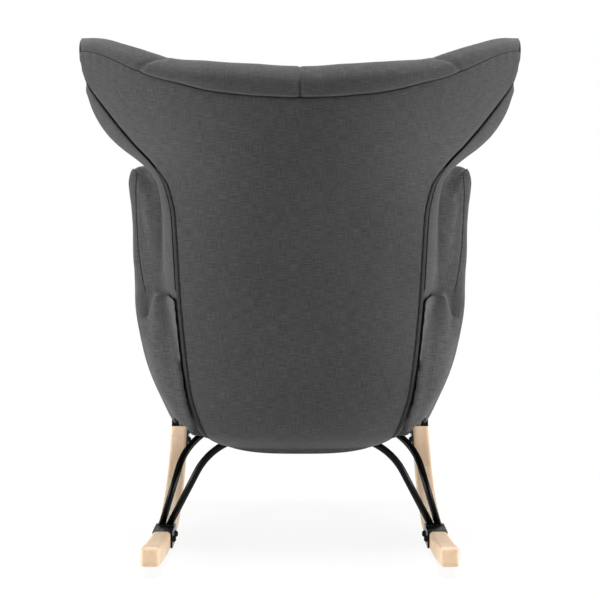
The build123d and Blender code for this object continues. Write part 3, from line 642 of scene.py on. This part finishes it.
def growPiece(name, lines, tree, sizes, closed=False, facing=None):  # lines or points become a plain mesh
    points, edges = [], []
    for line in lines:
        first = len(points)
        points += [tuple(spot) for spot in line]
        if facing is None:
            edges += [(k, k + 1) for k in range(first, len(points) - 1)]
            if closed:
                edges.append((len(points) - 1, first))
    mesh = bpy.data.meshes.new(name)
    mesh.from_pydata(points, edges, [])
    if facing is not None:
        mesh.attributes.new("facing", "FLOAT_VECTOR", "POINT").data.foreach_set("vector", np.ravel(facing))
    piece = newObject(name, mesh)
    modifier = piece.modifiers.new("nodes", "NODES")
    modifier.node_group = tree
    for item in tree.interface.items_tree:
        if item.in_out == "INPUT" and item.name in sizes:
            modifier[item.identifier] = sizes[item.name]
    bake(piece)
    return piece


def sewOn(name, lines, tree, sizes, closed=False):  # stitches and piping
    piece = growPiece(name, lines, tree, sizes, closed)
    layWeave(piece)
    settle(piece)


def mirrorLine(line):
    return [(-x, y, z) for x, y, z in line]


pipingTree = makeCordTree(linenGrey)
stitchTree = makeRowTree("stitches", seamThread)
stapleTree = makeRowTree("staples", zincSteel)
weldTree = makeBeadTree(blackSteel)
boltTree = makeBoltTree(blackSteel)


# the winged back
back = {
    "edge": [(0.205, 0.150), (0.226, 0.183), (0.256, 0.1985), (0.279, 0.206), (0.301, 0.2125), (0.323, 0.2165),
             (0.346, 0.2195), (0.368, 0.222), (0.413, 0.226), (0.457, 0.2295), (0.502, 0.2325), (0.569, 0.2352),
             (0.614, 0.2374), (0.658, 0.241), (0.688, 0.248), (0.718, 0.2595), (0.7485, 0.2805), (0.779, 0.3104),
             (0.810, 0.339), (0.8415, 0.3655), (0.873, 0.3905), (0.895, 0.4065), (0.912, 0.4165), (0.940, 0.4245),
             (0.980, 0.4305), (1.010, 0.432)],  # height, half width
    "flare": [(0.205, 0.006), (0.250, 0.010), (0.285, 0.012), (0.340, 0.014), (0.430, 0.017), (0.500, 0.020),
              (0.640, 0.021), (0.680, 0.0185), (0.710, 0.0145), (0.735, 0.0165), (0.749, 0.021), (0.764, 0.027),
              (0.780, 0.0335), (0.795, 0.037), (0.826, 0.036), (0.857, 0.0275), (0.889, 0.0125), (0.912, 0.002),
              (0.940, 0.001), (1.010, 0.001)],  # how far the side band stands out at its front
    # at these heights: how far the edge comes forward, and how deep the side band is
    "heights": (0.205, 0.226, 0.250, 0.285, 0.340, 0.430, 0.500, 0.640, 0.720, 0.780, 0.850, 0.930, 1.010),
    "wrap": (0.034, 0.042, 0.048, 0.0525, 0.057, 0.061, 0.064, 0.080, 0.125, 0.170, 0.222, 0.272, 0.287),
    "depth": (0.022, 0.034, 0.045, 0.052, 0.058, 0.060, 0.062, 0.064, 0.066, 0.070, 0.072, 0.066, 0.060),
    "tuck": [(0.205, 0.053), (0.226, 0.024), (0.250, 0.009), (0.285, 0.003), (0.340, 0), (1.010, 0)],
    "lean": math.tan(math.radians(12.6)),
    "rear": (0.309, 0.500),
    "front": (0.130, 0.210),
    "rearPower": 2.4,
    "frontPower": 2.2,
    "topLine": [(0, 0.9200), (0.0886, 0.9255), (0.1676, 0.9325), (0.241, 0.941), (0.270, 0.951), (0.298, 0.962),
                (0.331, 0.9735), (0.363, 0.984), (0.427, 0.994), (0.460, 0.996)],
    "topSeam": [(0, 0.859), (0.0995, 0.8645), (0.166, 0.8735), (0.2226, 0.889), (0.269, 0.903), (0.300, 0.916),
                (0.344, 0.938), (0.392, 0.9585), (0.440, 0.9665)],
    "bottomRise": 0.0347,
    "bottomReach": 0.195,
    "bottomPower": 3.6,
    "bottomZ": 0.1960,
    "thick": 0.010,
    "bandBulge": 0.005,
    "edgeGap": 0.0027,
    "bandSet": 0.0030,  # how deep the band starts beside the binding
    "gapDepth": 0.018,
    "bandFoot": 0.228,
    "bindingWidth": 0.0070,
    "bindingLift": 0.0020,
    "bindingRange": (0.227, 0.742),
    "foldX": 0.172,
    "foldSpread": 0.088,
    "foldDepth": 0.009,
    "crown": 0.015,
    "crownRange": (0.43, 0.53),
    "wingCrown": 0.009,
    "rollRadius": 0.046,
    "pleat": [(0.2435, 0.9395), (0.262, 0.9375), (0.281, 0.930), (0.2935, 0.919), (0.301, 0.905)],
    "pleatDepth": 0.0040,
    "pleatWidth": 0.0042,
    "sewnRange": (0.47, 0.895),
    "tipRange": (0.885, 0.912),
}
fitRounds = 40  # until a grid's outline and its heights agree
halfAt, flareAt, tuckAt = [smoothThrough(back[key]) for key in ("edge", "flare", "tuck")]
wrapAt, depthAt = [smoothThrough(list(zip(back["heights"], back[key]))) for key in ("wrap", "depth")]
topAt = evenLine(back["topLine"])
seamAt = evenLine(back["topSeam"])


def gapAt(z):  # the line beside the panel's edge closes on the wing tips
    return back["edgeGap"] * (1 - 0.85 * ease(*back["tipRange"], z))


def bottomAt(x):
    share = np.abs(x) / back["bottomReach"]
    return back["bottomZ"] + back["bottomRise"] * share ** back["bottomPower"]


def leanLine(key, z):  # the middle of the back's front or rear
    place, height = back[key]
    return place + (z - height) * back["lean"]


def foldAt(z):  # the sewn lines beside the middle
    return back["foldX"] + (z - back["front"][1]) * back["foldSpread"]


def rearAt(x, z):
    share = np.abs(x) / halfAt(z)
    return leanLine("rear", z) - tuckAt(z) - wrapAt(z) * share ** back["rearPower"]


def bandEnds(z):  # outer rear and front corner of the side band, and the way out of it
    half, flare, depth = halfAt(z), flareAt(z), depthAt(z)
    edgeY = rearAt(half, z)
    length = np.hypot(flare, depth)
    start = back["bandSet"] / length
    rear = np.stack([half + flare * start, edgeY - depth * start], -1)
    front = np.stack([half + flare, edgeY - depth], -1)
    out = np.stack([depth / length, flare / length], -1)
    return rear, front, out


def makeOutsideBack():
    across = (crowd(151, 0.6) * 2 - 1)[None, :]
    up = crowd(171, 0.6)[:, None]
    z = 0.2 + 0.7 * up + 0 * across
    for step in range(fitRounds):
        x = across * (halfAt(z) - gapAt(z))
        z = bottomAt(x) + (seamAt(x) - bottomAt(x)) * up
    x = across * (halfAt(z) - gapAt(z))
    grid = np.stack([x, rearAt(x, z), z], -1)
    normal = gridNormals(grid, (0, 1, 0))
    side = (1 - np.abs(across)) * halfAt(z)
    top, low = seamAt(x) - z, z - bottomAt(x)
    nearest = np.minimum(np.minimum(side, top), low)
    bound = ease(0.745, 0.715, z)  # the binding keeps the side edges flat
    seamDip = 0.0024 - 0.0017 * ease(0.20, 0.36, np.abs(x))  # the seam under the roll fades on the wings
    dip = 0.0036 * np.exp(-side / 0.004) * (1 - bound * 0.6) + seamDip * np.exp(-top / 0.0042)
    pucker = 0.0005 * np.sin(z * 2 * np.pi / 0.021) * np.exp(-side / 0.016)
    pucker = pucker + 0.0006 * np.sin(x * 2 * np.pi / 0.019) * np.exp(-top / 0.018)
    pull = 0.0011 * ripple(x, 0, z, 0.21, 4) * ease(0.0, 0.05, nearest)
    outer = grid + normal * (pull + pucker - dip)[..., None]
    thick = 0.003 + (back["thick"] - 0.003) * ease(0.0, 0.016, nearest)
    inner = grid - normal * (thick + 0.0042)[..., None]
    piece = closedShell("outsideBackPanel", outer, inner, linenGrey)
    layWeave(piece)
    settle(piece, ["outside_back"])


def bindingWidthAt(z):  # it runs out to a point at the top
    return back["bindingWidth"] * (0.15 + 0.85 * ease(0, 0.035, back["bindingRange"][1] - z))


def makeBinding():
    low, high = back["bindingRange"]
    z = np.linspace(low, high, 260)[:, None]
    across = np.linspace(0, 1, 13)[None, :]
    x = halfAt(z) - gapAt(z) - bindingWidthAt(z) * (1 - across)
    z = z + 0 * x
    grid = np.stack([x, rearAt(x, z), z], -1)
    normal = gridNormals(grid, (0, 1, 0))
    ends = ease(0, 0.03, np.minimum(z - low, high - z))
    crown = (1 - np.abs(2 * across - 1) ** 5) * (0.35 + 0.65 * ends)
    stitch = 0.00022 * np.sin(z * 2 * np.pi / 0.0065) * crown
    outer = grid + normal * (0.0004 + back["bindingLift"] * crown + stitch)[..., None]
    inner = grid - normal * 0.0012
    left = closedShell("backBindingLeft", outer, inner, linenBinding)
    settlePair(left, "backBindingRight", "back_binding")
    rows = np.linspace(low + 0.006, high - 0.004, 240)
    inside = halfAt(rows) - back["edgeGap"] - bindingWidthAt(rows) - 0.0004
    seam = np.stack([inside, rearAt(inside, rows) + 0.0002, rows], 1)
    sewOn("bindingStitches", [seam, mirrorLine(seam)], stitchTree,
          {"Pitch": 0.0042, "Length": 0.0032, "Thickness": 0.0004})


def rollShare(z, top):  # how far the top has rolled in, 1 below the roll and 0 on the ridge
    radius = back["rollRadius"]
    t = np.clip((z - (top - radius)) / radius, 0, 1)
    return np.sqrt(np.maximum(1 - t ** 2.2, 0.0006))


def padEdges(z):  # where the pad's front and rear end beside the band
    rear, front, out = bandEnds(z)
    inset = out * (back["thick"] + 0.0008)
    return front - inset, rear - inset


def makeSideBands():
    up = crowd(230, 0.35)[:, None]
    along = crowd(33, 0.7)[None, :]
    foot = back["bandFoot"]
    z = foot + (0.99 - foot) * up
    for step in range(fitRounds):
        ridge = sum(padEdges(z)) / 2
        z = foot + (topAt(ridge[..., 0]) - 0.0012 - foot) * up
    rear, front, out = bandEnds(z)
    ridge = sum(padEdges(z)) / 2
    share = rollShare(z, topAt(ridge[..., 0]))[..., None]
    line = rear + (front - rear) * along[..., None]
    wide = 2 * along - 1
    puff = back["bandBulge"] * (1 - wide ** 2) - np.where(wide > 0, 0.0030, 0.0010) * np.abs(wide) ** 9
    zAll = z + 0 * along
    puff = puff - (puff + 0.0035) * ease(0.888, 0.914, zAll)  # on the wing tips it lies behind the panel's edge
    puff = puff - 0.0085 * ease(0.516, 0.496, zAll)  # lower down it lies under the arm's cover
    puff = puff + 0.0006 * ripple(line[..., 0], line[..., 1], zAll, 0.09, 8) * (1 - wide ** 2)
    outer = ridge + (line + out * puff[..., None] - ridge) * share  # the band closes in on the pad's ridge
    deep = back["gapDepth"] / np.hypot(flareAt(z), depthAt(z)) * ease(0.80, 0.74, z)
    below = rear + (front - rear) * (deep + (1 - deep) * along)[..., None]
    inner = ridge + (below - out * (back["thick"] - 0.0006) - ridge) * share
    stack = [np.concatenate([part, zAll[..., None]], -1) for part in (outer, inner)]
    left = closedShell("backBandLeft", *stack, linenGrey)
    settlePair(left, "backBandRight", "back_band")


def distanceTo(x, z, path):
    best = np.full(x.shape, 9.0)
    for (ax, az), (bx, bz) in zip(path, path[1:]):
        t = np.clip(((x - ax) * (bx - ax) + (z - az) * (bz - az)) / ((bx - ax) ** 2 + (bz - az) ** 2), 0, 1)
        best = np.minimum(best, np.hypot(x - ax - t * (bx - ax), z - az - t * (bz - az)))
    return best


def makeInsideBack():
    across = (crowd(221, 0.35) * 2 - 1)[None, :]
    rise = np.linspace(0, 1, 210)
    up = (rise * 0.55 + (1 - (1 - rise) ** 2) * 0.45)[:, None]
    z = 0.21 + 0.7 * up + 0 * across
    for step in range(fitRounds):
        middleX = across * sum(padEdges(z))[..., 0] / 2
        low = bottomAt(np.clip(middleX, -0.19, 0.19)) + 0.004
        z = low + (topAt(middleX) - low) * up
    tip, heel = padEdges(z)
    tipX, heelX = tip[..., 0], heel[..., 0]
    side = np.abs(across)
    # front face with two lobes between the sewn lines, and the wings beside them
    x = side * tipX
    deep = back["foldDepth"]
    grow = np.clip(ease(*back["crownRange"], z), 0.08, 1)
    fold = np.minimum(foldAt(z), tipX - deep)
    middleY = leanLine("front", z)
    base = middleY - (middleY - tip[..., 1]) * side ** back["frontPower"]
    inLobe = np.clip(2 * x / fold - 1, -1, 1)
    inWing = np.clip((x - fold) / np.maximum(tipX - fold, 1e-6), 0, 1)
    lobe, wing = [(1 - part ** 2) ** 0.62 for part in (inLobe, 2 * inWing - 1)]
    wingSize = np.minimum(back["wingCrown"], (tipX - fold) / 4)
    sewn = deep * np.where(x <= fold, 1, 1 - inWing)
    puff = np.where(x <= fold, lobe * (back["crown"] + deep), wing * (wingSize + deep * (1 - inWing)))
    frontY = base + (sewn - puff) * grow
    frontX = np.sign(across) * x
    # rear face: hidden under the panel up to the seam, then rolled over the top
    rearX = np.sign(across) * side * heelX
    seam = seamAt(rearX)
    hidden = ease(0.0052 - 0.0030 * ease(0.20, 0.36, np.abs(rearX)), -0.001, z - seam)
    puffed = 0.0035 * np.sin(np.clip((z - seam) / np.maximum(topAt(rearX) - seam, 1e-6), 0, 1) * np.pi)
    rearY = rearAt(rearX, z) - hidden * 0.0165 + puffed
    share = rollShare(z, topAt(across * (tipX + heelX) / 2))
    midX, midY = (frontX + rearX) / 2, (frontY + rearY) / 2
    front, rear = [np.stack([midX + (sideX - midX) * share, midY + (sideY - midY) * share, z], -1)
                   for sideX, sideY in ((frontX, frontY), (rearX, rearY))]
    # pleats where the cloth is gathered round the top
    out = np.abs(rear[..., 0])
    away = np.minimum(distanceTo(out, z, back["pleat"]), out * 1.6)
    crease = back["pleatDepth"] * np.exp(-(away / back["pleatWidth"]) ** 1.3) * ease(0, 0.004, z - seam)
    soft = 0.0012 * ripple(rear[..., 0], rear[..., 1], z, 0.07, 12) * (1 - hidden)
    rear += gridNormals(rear, (0, 1, 0.2)) * (soft - crease)[..., None]
    soft = 0.0012 * ripple(front[..., 0], front[..., 1], z, 0.12, 3) * grow
    front += gridNormals(front, (0, -1, 0)) * soft[..., None]
    rear[-1] = front[-1] = (front[-1] + rear[-1]) / 2
    piece = closedShell("insideBackPad", front, rear, linenGrey)
    layWeave(piece)
    settle(piece, ["inside_back"])
    surface = surfaceOf(piece)
    rows = np.linspace(*back["sewnRange"], 90)
    seams = []
    for offset in (0 * rows, foldAt(rows), -foldAt(rows)):
        starts = np.stack([offset, 0 * rows - 0.5, rows], 1)
        seams.append(layOn(surface, starts, (0, 1, 0), 0.0003))
    sewOn("sewnLines", seams, stitchTree, {"Pitch": 0.0052, "Length": 0.0036, "Thickness": 0.0006})


placeCamera()
finishNodes()
makeOutsideBack()
makeBinding()
makeSideBands()
makeInsideBack()
print("back made")


# arms with the hips that run round to the back
arm = {
    "voxel": 0.005,
    "rounds": 6,
    "pressure": 3.0,
    "cap": 0.0016,  # how far the pressure may move the cover
    "slant": 0.5,
    "slantX": 0.262,
    "slantWidth": 0.075,
    "slantY": (0.04, 0.15),
    "aboveZ": (0.44, 0.52),
    "hipY": (0.163, 0.170),
    "foldDrop": 0.042,
    "foldX": (0.275, 0.291),
    "foldZ": (0.39, 0.49),
    "hipGap": 0.0022,
    "hipReach": 0.050,
    "hipFill": 0.003,
    "hipEdge": 0.008,
    "hipEdgeWidth": 0.024,
    "hipRows": (0.220, 0.520, 0.006),  # first, last and spacing
    "hipRear": 0.176,
    "hipStart": (0.160, 0.174),
    "hipTop": 0.53,
    "hipMerge": (0.514, 0.492),
    "hipSlope": 0.75,
    "slopeX": 0.224,
    "slopeY": (0.12, 0.17),
    "slopeZ": (0.320, 0.240),
    "closeGap": 0.003,
    "closeX": (0.265, 0.247),
    "closeY": (0.125, 0.158),
    "closeZ": (0.468, 0.495),
    "evenRounds": 5,
    "evenX": (0.050, 0.030),
    "evenY": (0.145, 0.160),
    "evenZ": (0.55, 0.52),
    "lowY": (0.09, 0.12),
    "lowZ": (0.320, 0.280),
    "corner": 0.034,
    "cornerX": 0.326,
    "squareness": 0.20,
    "topEdge": (0.752, 0.164, 0.067),  # height, place and slope
    "wobble": 0.0011,
    "seam": [(0.502, 0.2972), (0.5056, 0.2985), (0.540, 0.306), (0.574, 0.311), (0.620, 0.3145), (0.666, 0.3165),
             (0.705, 0.3165), (0.733, 0.314)],  # height, distance from the middle
}


def armEase(key, q):
    return ease(*arm[key], q)


def spareArm(x, y, z):  # the hip's edge beside the back and the top corner stay crisp
    beside = ease(0.05, 0.025, x - halfAt(z)) * ease(0.50, 0.47, z) * ease(0.13, 0.17, y)
    corner = ease(0.285, 0.300, x) * ease(0.69, 0.72, z) * ease(0.04, 0.10, y)
    return np.maximum(beside, 0.8 * corner)


def drawToBack(points):  # the hip's cover is drawn over the band, up to the line beside the binding
    x, y, z = points.T.copy()
    z = z + (x - arm["slopeX"]) * arm["hipSlope"] * armEase("slopeZ", z) * armEase("slopeY", y)
    half = halfAt(z)
    away = x - half - arm["hipGap"]
    rear = armEase("hipStart", y) * (z < arm["hipTop"])
    lowest, highest, gap = arm["hipRows"]
    levels = np.arange(lowest, highest, gap)
    nearest = []
    for level in levels:
        row = away[(y > arm["hipRear"]) & (np.abs(z - level) < gap)]
        nearest.append(row.min() if len(row) else (nearest[-1] if nearest else 0.0))
    nearest = np.convolve(np.pad(nearest, 3, mode="edge"), np.ones(7) / 7, mode="valid")
    merge = armEase("hipMerge", z)
    least = np.interp(z, levels, nearest) * merge
    reach = arm["hipReach"]
    drawn = np.where(away < reach, (away - least) * reach / (reach - least), away)
    x = x + (drawn - away) * rear
    edgeY = rearAt(half, z)
    bandY = edgeY - depthAt(z) * np.clip((x - half) / flareAt(z), 0, 1)
    over = np.maximum(bandY + arm["hipFill"] - y, 0) * ease(reach, reach * 0.6, drawn)
    y = y + (over + arm["hipEdge"] * ease(arm["hipEdgeWidth"], 0.0, drawn)) * rear * merge
    frontY = edgeY - depthAt(z) - arm["closeGap"]
    inside = armEase("closeX", x) * armEase("closeY", y) * armEase("closeZ", z)
    y = y + np.maximum(frontY - y, 0) * inside  # above the hip its inner edge closes on the band
    return np.stack([x, y, z], 1)


def squareCorner(points):  # the rear top corner is fuller than a plain round
    x, y, z = points.T.copy()
    size = arm["corner"]
    midX = arm["cornerX"] - size
    top, place, slope = arm["topEdge"]
    midZ = top - (place - y) * slope - size
    across, up = np.maximum(x - midX, 0) / size, np.maximum(z - midZ, 0) / size
    twice = 2 * across * up / np.maximum(across ** 2 + up ** 2, 1e-9)
    grow = arm["squareness"] * twice ** 2 * ease(0.03, 0.13, y) * size
    return np.stack([x + across * grow, y, z + up * grow], 1)


def makeArms():
    left = softCopy("armLeft", "arm_left", arm, linenArm, spareArm)
    fillWithAir(left, arm)
    divideOnce(left)
    points = squareCorner(drawToBack(pointsOf(left.data)))
    x, y, z = points.T
    hip = armEase("hipY", y)
    above = armEase("aboveZ", z) * (1 - hip)
    slanted = np.clip(x - arm["slantX"], 0, arm["slantWidth"])
    slant = arm["slant"] * slanted * armEase("slantY", y) * above
    drop = arm["foldDrop"] * armEase("foldX", x) * armEase("foldZ", z) * hip
    points = np.stack([x + slant * 0.10, y - slant, z - drop], 1)
    movePoints(left.data, points)
    relax(left.data, arm["evenRounds"])
    edge = armEase("evenX", x - halfAt(z)) * armEase("evenY", y) * armEase("evenZ", z)
    edge = np.maximum(edge, armEase("lowZ", z) * armEase("lowY", y))
    points = points + (pointsOf(left.data) - points) * edge[:, None]  # even along the hip's edge and bottom
    movePoints(left.data, points)
    pushOut(left.data, arm["wobble"] * ripple(*points.T, 0.13, 21))
    rows = np.linspace(arm["seam"][0][0], arm["seam"][-1][0], 90)
    starts = np.stack([smoothThrough(arm["seam"])(rows), 0 * rows + 0.5, rows], 1)
    seam = layOn(surfaceOf(left), starts, (0, -1, 0))
    sewAlong(left, seam, 0.0009, 0.0032)
    seam = layOn(surfaceOf(left), [(x, 0.5, z) for x, y, z in seam], (0, -1, 0), 0.0004)
    sewOn("armPiping", [seam, mirrorLine(seam)], pipingTree, {"Radius": 0.0009})
    right = settlePair(left, "armRight", "arm")
    layWeave(right)


makeArms()
print("arms made")


# seat, which rises towards the front
seatTilt = math.radians(5)
seatZ = 0.232


def seatPoint(x, along, height):
    return (x, along * math.cos(seatTilt) + height * math.sin(seatTilt),
            seatZ - along * math.sin(seatTilt) + height * math.cos(seatTilt))


cushion = {"voxel": 0.005, "rounds": 5, "pressure": 4.0, "cap": 0.010, "shrink": 0.004, "seams": (0.084, 0.141)}


def makeCushion():
    piece = softCopy("seatCushion", "seat_cushion", cushion, linenGrey)
    pushOut(piece.data, -cushion["shrink"])
    fillWithAir(piece, cushion)
    divideOnce(piece)
    middleY = sum(corner[1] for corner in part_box("seat_cushion")) / 2
    turns = np.linspace(0, 2 * np.pi, 220, endpoint=False)
    ways = [(math.cos(t), math.sin(t) * math.cos(seatTilt), -math.sin(t) * math.sin(seatTilt)) for t in turns]
    surface = surfaceOf(piece)
    seams = [layOn(surface, seatPoint(0, middleY, height), ways) for height in cushion["seams"]]
    for seam in seams:
        sewAlong(piece, seam, 0.0030, 0.0042)
    sewOn("cushionPiping", seams, pipingTree, {"Radius": 0.0021}, closed=True)
    layWeave(piece)
    settle(piece, ["seat_cushion"])


border = {"voxel": 0.004, "rounds": 3}
rails = {"voxel": 0.003, "rounds": 2}
cornerCut = {
    "lift": 0.030,
    "along": (0.03, 0.125),
    "top": 0.30,
    "fade": 0.05,
    "border": (0.206, 0.236),  # distances from the middle between which each part rises
    "sideRail": (0.150, 0.200),
    "rearRail": (0.020, 0.100),
}


def cutCorner(mesh, part):  # the seat's lower rear corners are cut away on the slant
    x, y, z = pointsOf(mesh).T
    lift = cornerCut["lift"] * ease(*cornerCut[part], np.abs(x)) * ease(*cornerCut["along"], y)
    low = np.clip((cornerCut["top"] - z) / cornerCut["fade"], 0, 1)
    movePoints(mesh, np.stack([x, y, z + lift * low], 1))


def makeBorder():
    piece = softCopy("seatBorder", "seat_border", border, linenGrey)
    cutCorner(piece.data, "border")
    layWeave(piece)
    settle(piece, ["seat_border"])
    for name, node, part in (("sideRailLeft", "seat_side_rail_left", "sideRail"),
                             ("sideRailRight", "seat_side_rail_right", "sideRail"),
                             ("rearRail", "seat_rear_rail", "rearRail")):
        rail = softCopy(name, node, rails, sawnTimber)
        cutCorner(rail.data, part)
        settle(rail, [node])


dustCover = {
    "halfWidth": 0.2292,
    "front": -0.3552,
    "rear": 0.1252,
    "sag": 0.0032,
    "thick": 0.0007,
    "barX": 0.072,  # the flat bars hold it up
    "cut": 0.16,
}


def makeDustCover():
    half, front, rear = [dustCover[key] for key in ("halfWidth", "front", "rear")]
    across = np.linspace(-1, 1, 93)[None, :]
    along = np.linspace(0, 1, 61)[:, None]
    x = across * half + 0 * along
    v = front + (rear - front) * along + 0 * across
    edge = np.minimum(half - np.abs(x), np.minimum(v - front, rear - v))
    loose = ease(0.03, 0.11, edge) * ease(0.016, 0.045, np.abs(np.abs(x) - dustCover["barX"]))
    crease = 0.12 * ripple(x, v, 0, 0.09, 31) + 1
    w = 0.0002 - dustCover["sag"] * loose * crease
    x = x * (1 - dustCover["cut"] * ease(rear - 0.10, rear, v) * np.abs(across) ** 3)
    under, over = [np.stack(seatPoint(x, v, w + lift), -1) for lift in (0, dustCover["thick"])]
    piece = closedShell("dustCloth", over, under, dustCloth)
    settle(piece, ["dust_cover"])
    inset = 0.011
    ends = [((x, front + 0.02), (x, rear - 0.11)) for x in (inset - half, half - inset)]
    for v in (front + inset, rear - inset):
        ends += [((x, v), (y, v)) for x, y in ((-0.175, -0.1), (-0.045, 0.045), (0.1, 0.175))]
    rows = [[seatPoint(x, v, -0.0003) for x, v in pair] for pair in ends]
    staples = growPiece("coverStaples", rows, stapleTree, {"Pitch": 0.034, "Length": 0.011, "Thickness": 0.0006})
    settle(staples)


makeCushion()
makeBorder()
makeDustCover()
print("seat made")


# the rods' coat, bolts with sockets, and welds at the rods' feet
steel = {
    "coat": 0.0008,
    "shanks": {"rocker": 0.0235, "seat": 0.0365},
    "weldRadius": 0.00685,
    "weldZ": 0.0386,
    "footY": 0.080,
    "feet": [(0.2595, 0.52), (0.274, 0.26)],  # distance from the middle, lean of the rod
}


def boltPlaces(node):  # where each head stands and the way it faces, read from the solids
    mesh = solidOf(node)
    a, b = readAll(mesh.edges, "vertices", 2, int).T
    island = np.arange(len(mesh.vertices))
    before = None
    while before is None or (before != island).any():
        before = island.copy()
        np.minimum.at(island, a, before[b])
        np.minimum.at(island, b, before[a])
    spots, facing = [], []
    for number in np.unique(island):
        points = pointsOf(mesh)[island == number]
        middle = points.mean(0)
        way = np.linalg.svd(points - middle)[2][0]
        along = (points - middle) @ way
        away = np.linalg.norm(points - middle - np.outer(along, way), axis=1)
        rim = along[away > away.max() * 0.97].mean()
        if rim < (along.min() + along.max()) / 2:
            way, rim = -way, -rim
        spots.append(middle + way * rim)
        facing.append(way)
    return spots, facing


def makeRods():  # the rods with their coat
    for name, node in (("rearRod", "rear_rod_arch"), ("frontRod", "front_rod_arch")):
        piece = newObject(name, solidOf(node), blackSteel)
        pushOut(piece.data, steel["coat"])
        settle(piece, [node])


def makeSteelDetails():
    for part, shank in steel["shanks"].items():
        spots, facing = boltPlaces(part + "_bolts")
        piece = growPiece(part + "Bolts", [spots], boltTree, {"Shank": shank}, facing=facing)
        settle(piece, [part + "_bolts"])
    turns = np.linspace(0, 2 * np.pi, 24, endpoint=False)
    rings = []
    radius = steel["weldRadius"]
    for foot, lean in steel["feet"]:
        ring = [(foot + radius * math.cos(t) * (1 + lean * 0.12), steel["footY"] + radius * math.sin(t),
                 steel["weldZ"]) for t in turns]
        rings += [ring, mirrorLine(ring)]
    beads = growPiece("footWelds", rings, weldTree, {"Pitch": 0.0024, "Size": 0.0019}, closed=True)
    settle(beads)


makeRods()
makeSteelDetails()
print("rods, bolts and welds made")


# plain pale floor and soft studio light
studio = {
    "world": 0.10,
    "floor": (0.90, 0.90, 0.90, 1),
    "floorGlow": 0.90,  # under the chair, and 1 outside the range
    "glowRange": (0.3, 1.1),
    "floorReach": 14,
    "lamps": [
        # place, target, size and power
        ("sideLeft", (3.1, 0.85, 0.42), (0, 0.2, 0.40), 2.0, 155),
        ("sideRight", (-3.1, 0.85, 0.42), (0, 0.2, 0.40), 2.0, 155),
        ("overhead", (0, 0.5, 3.4), (0, 0.1, 0.5), 2.2, 175),
        ("front", (0, -3.4, 2.4), (0, 0, 0.5), 2.4, 70),
    ],
}


def raysOf(root, *kinds):
    node = root.make("ShaderNodeLightPath").socket.node
    return [Value(root.tree, node.outputs[kind]) for kind in kinds]


def lightStudio():
    for name, place, target, size, power in studio["lamps"]:
        data = bpy.data.lights.new(name, "AREA")
        data.shape = "DISK"
        data.size = size
        data.energy = power
        lamp = linkObject(name, data)
        lamp.location = place
        lamp.rotation_euler = (Vector(target) - Vector(place)).to_track_quat("-Z", "Y").to_euler()
    world = bpy.data.worlds.new("studio")
    scene.world = world
    world.use_nodes = True
    world.node_tree.nodes.clear()
    root = Value(world.node_tree)
    shown = root.math("MAXIMUM", *raysOf(root, "Is Camera Ray", "Is Transmission Ray"))
    strength = shown + (1 - shown) * studio["world"]
    sky = root.make("ShaderNodeBackground", {0: (1, 1, 1, 1), 1: strength})
    root.make("ShaderNodeOutputWorld", {0: sky})


@finish
def makeFloorFinish(root):
    seen = root.math("MAXIMUM", *raysOf(root, "Is Camera Ray", "Is Glossy Ray"))
    matt = root.make("ShaderNodeBsdfDiffuse", {0: studio["floor"]})
    white = root.make("ShaderNodeEmission", {0: (1, 1, 1, 1), 1: 1.0})
    x, y, z = root.split(root.place())
    bare = root.ramp(root.math("SQRT", x * x + y * y), *studio["glowRange"], studio["floorGlow"])
    return root.make("ShaderNodeMixShader", {0: seen * bare, 1: matt, 2: white})


def layFloor():
    reach = studio["floorReach"]
    corners = [(x * reach, y * reach, 0) for x, y in ((-1, -1), (1, -1), (1, 1), (-1, 1))]
    mesh = bpy.data.meshes.new("floor")
    mesh.from_pydata(corners, [], [(0, 1, 2, 3)])
    newObject("floor", mesh, makeFloorFinish("paleFloor"))


lightStudio()
layFloor()
scene.view_settings.view_transform = "Standard"
print("studio set")
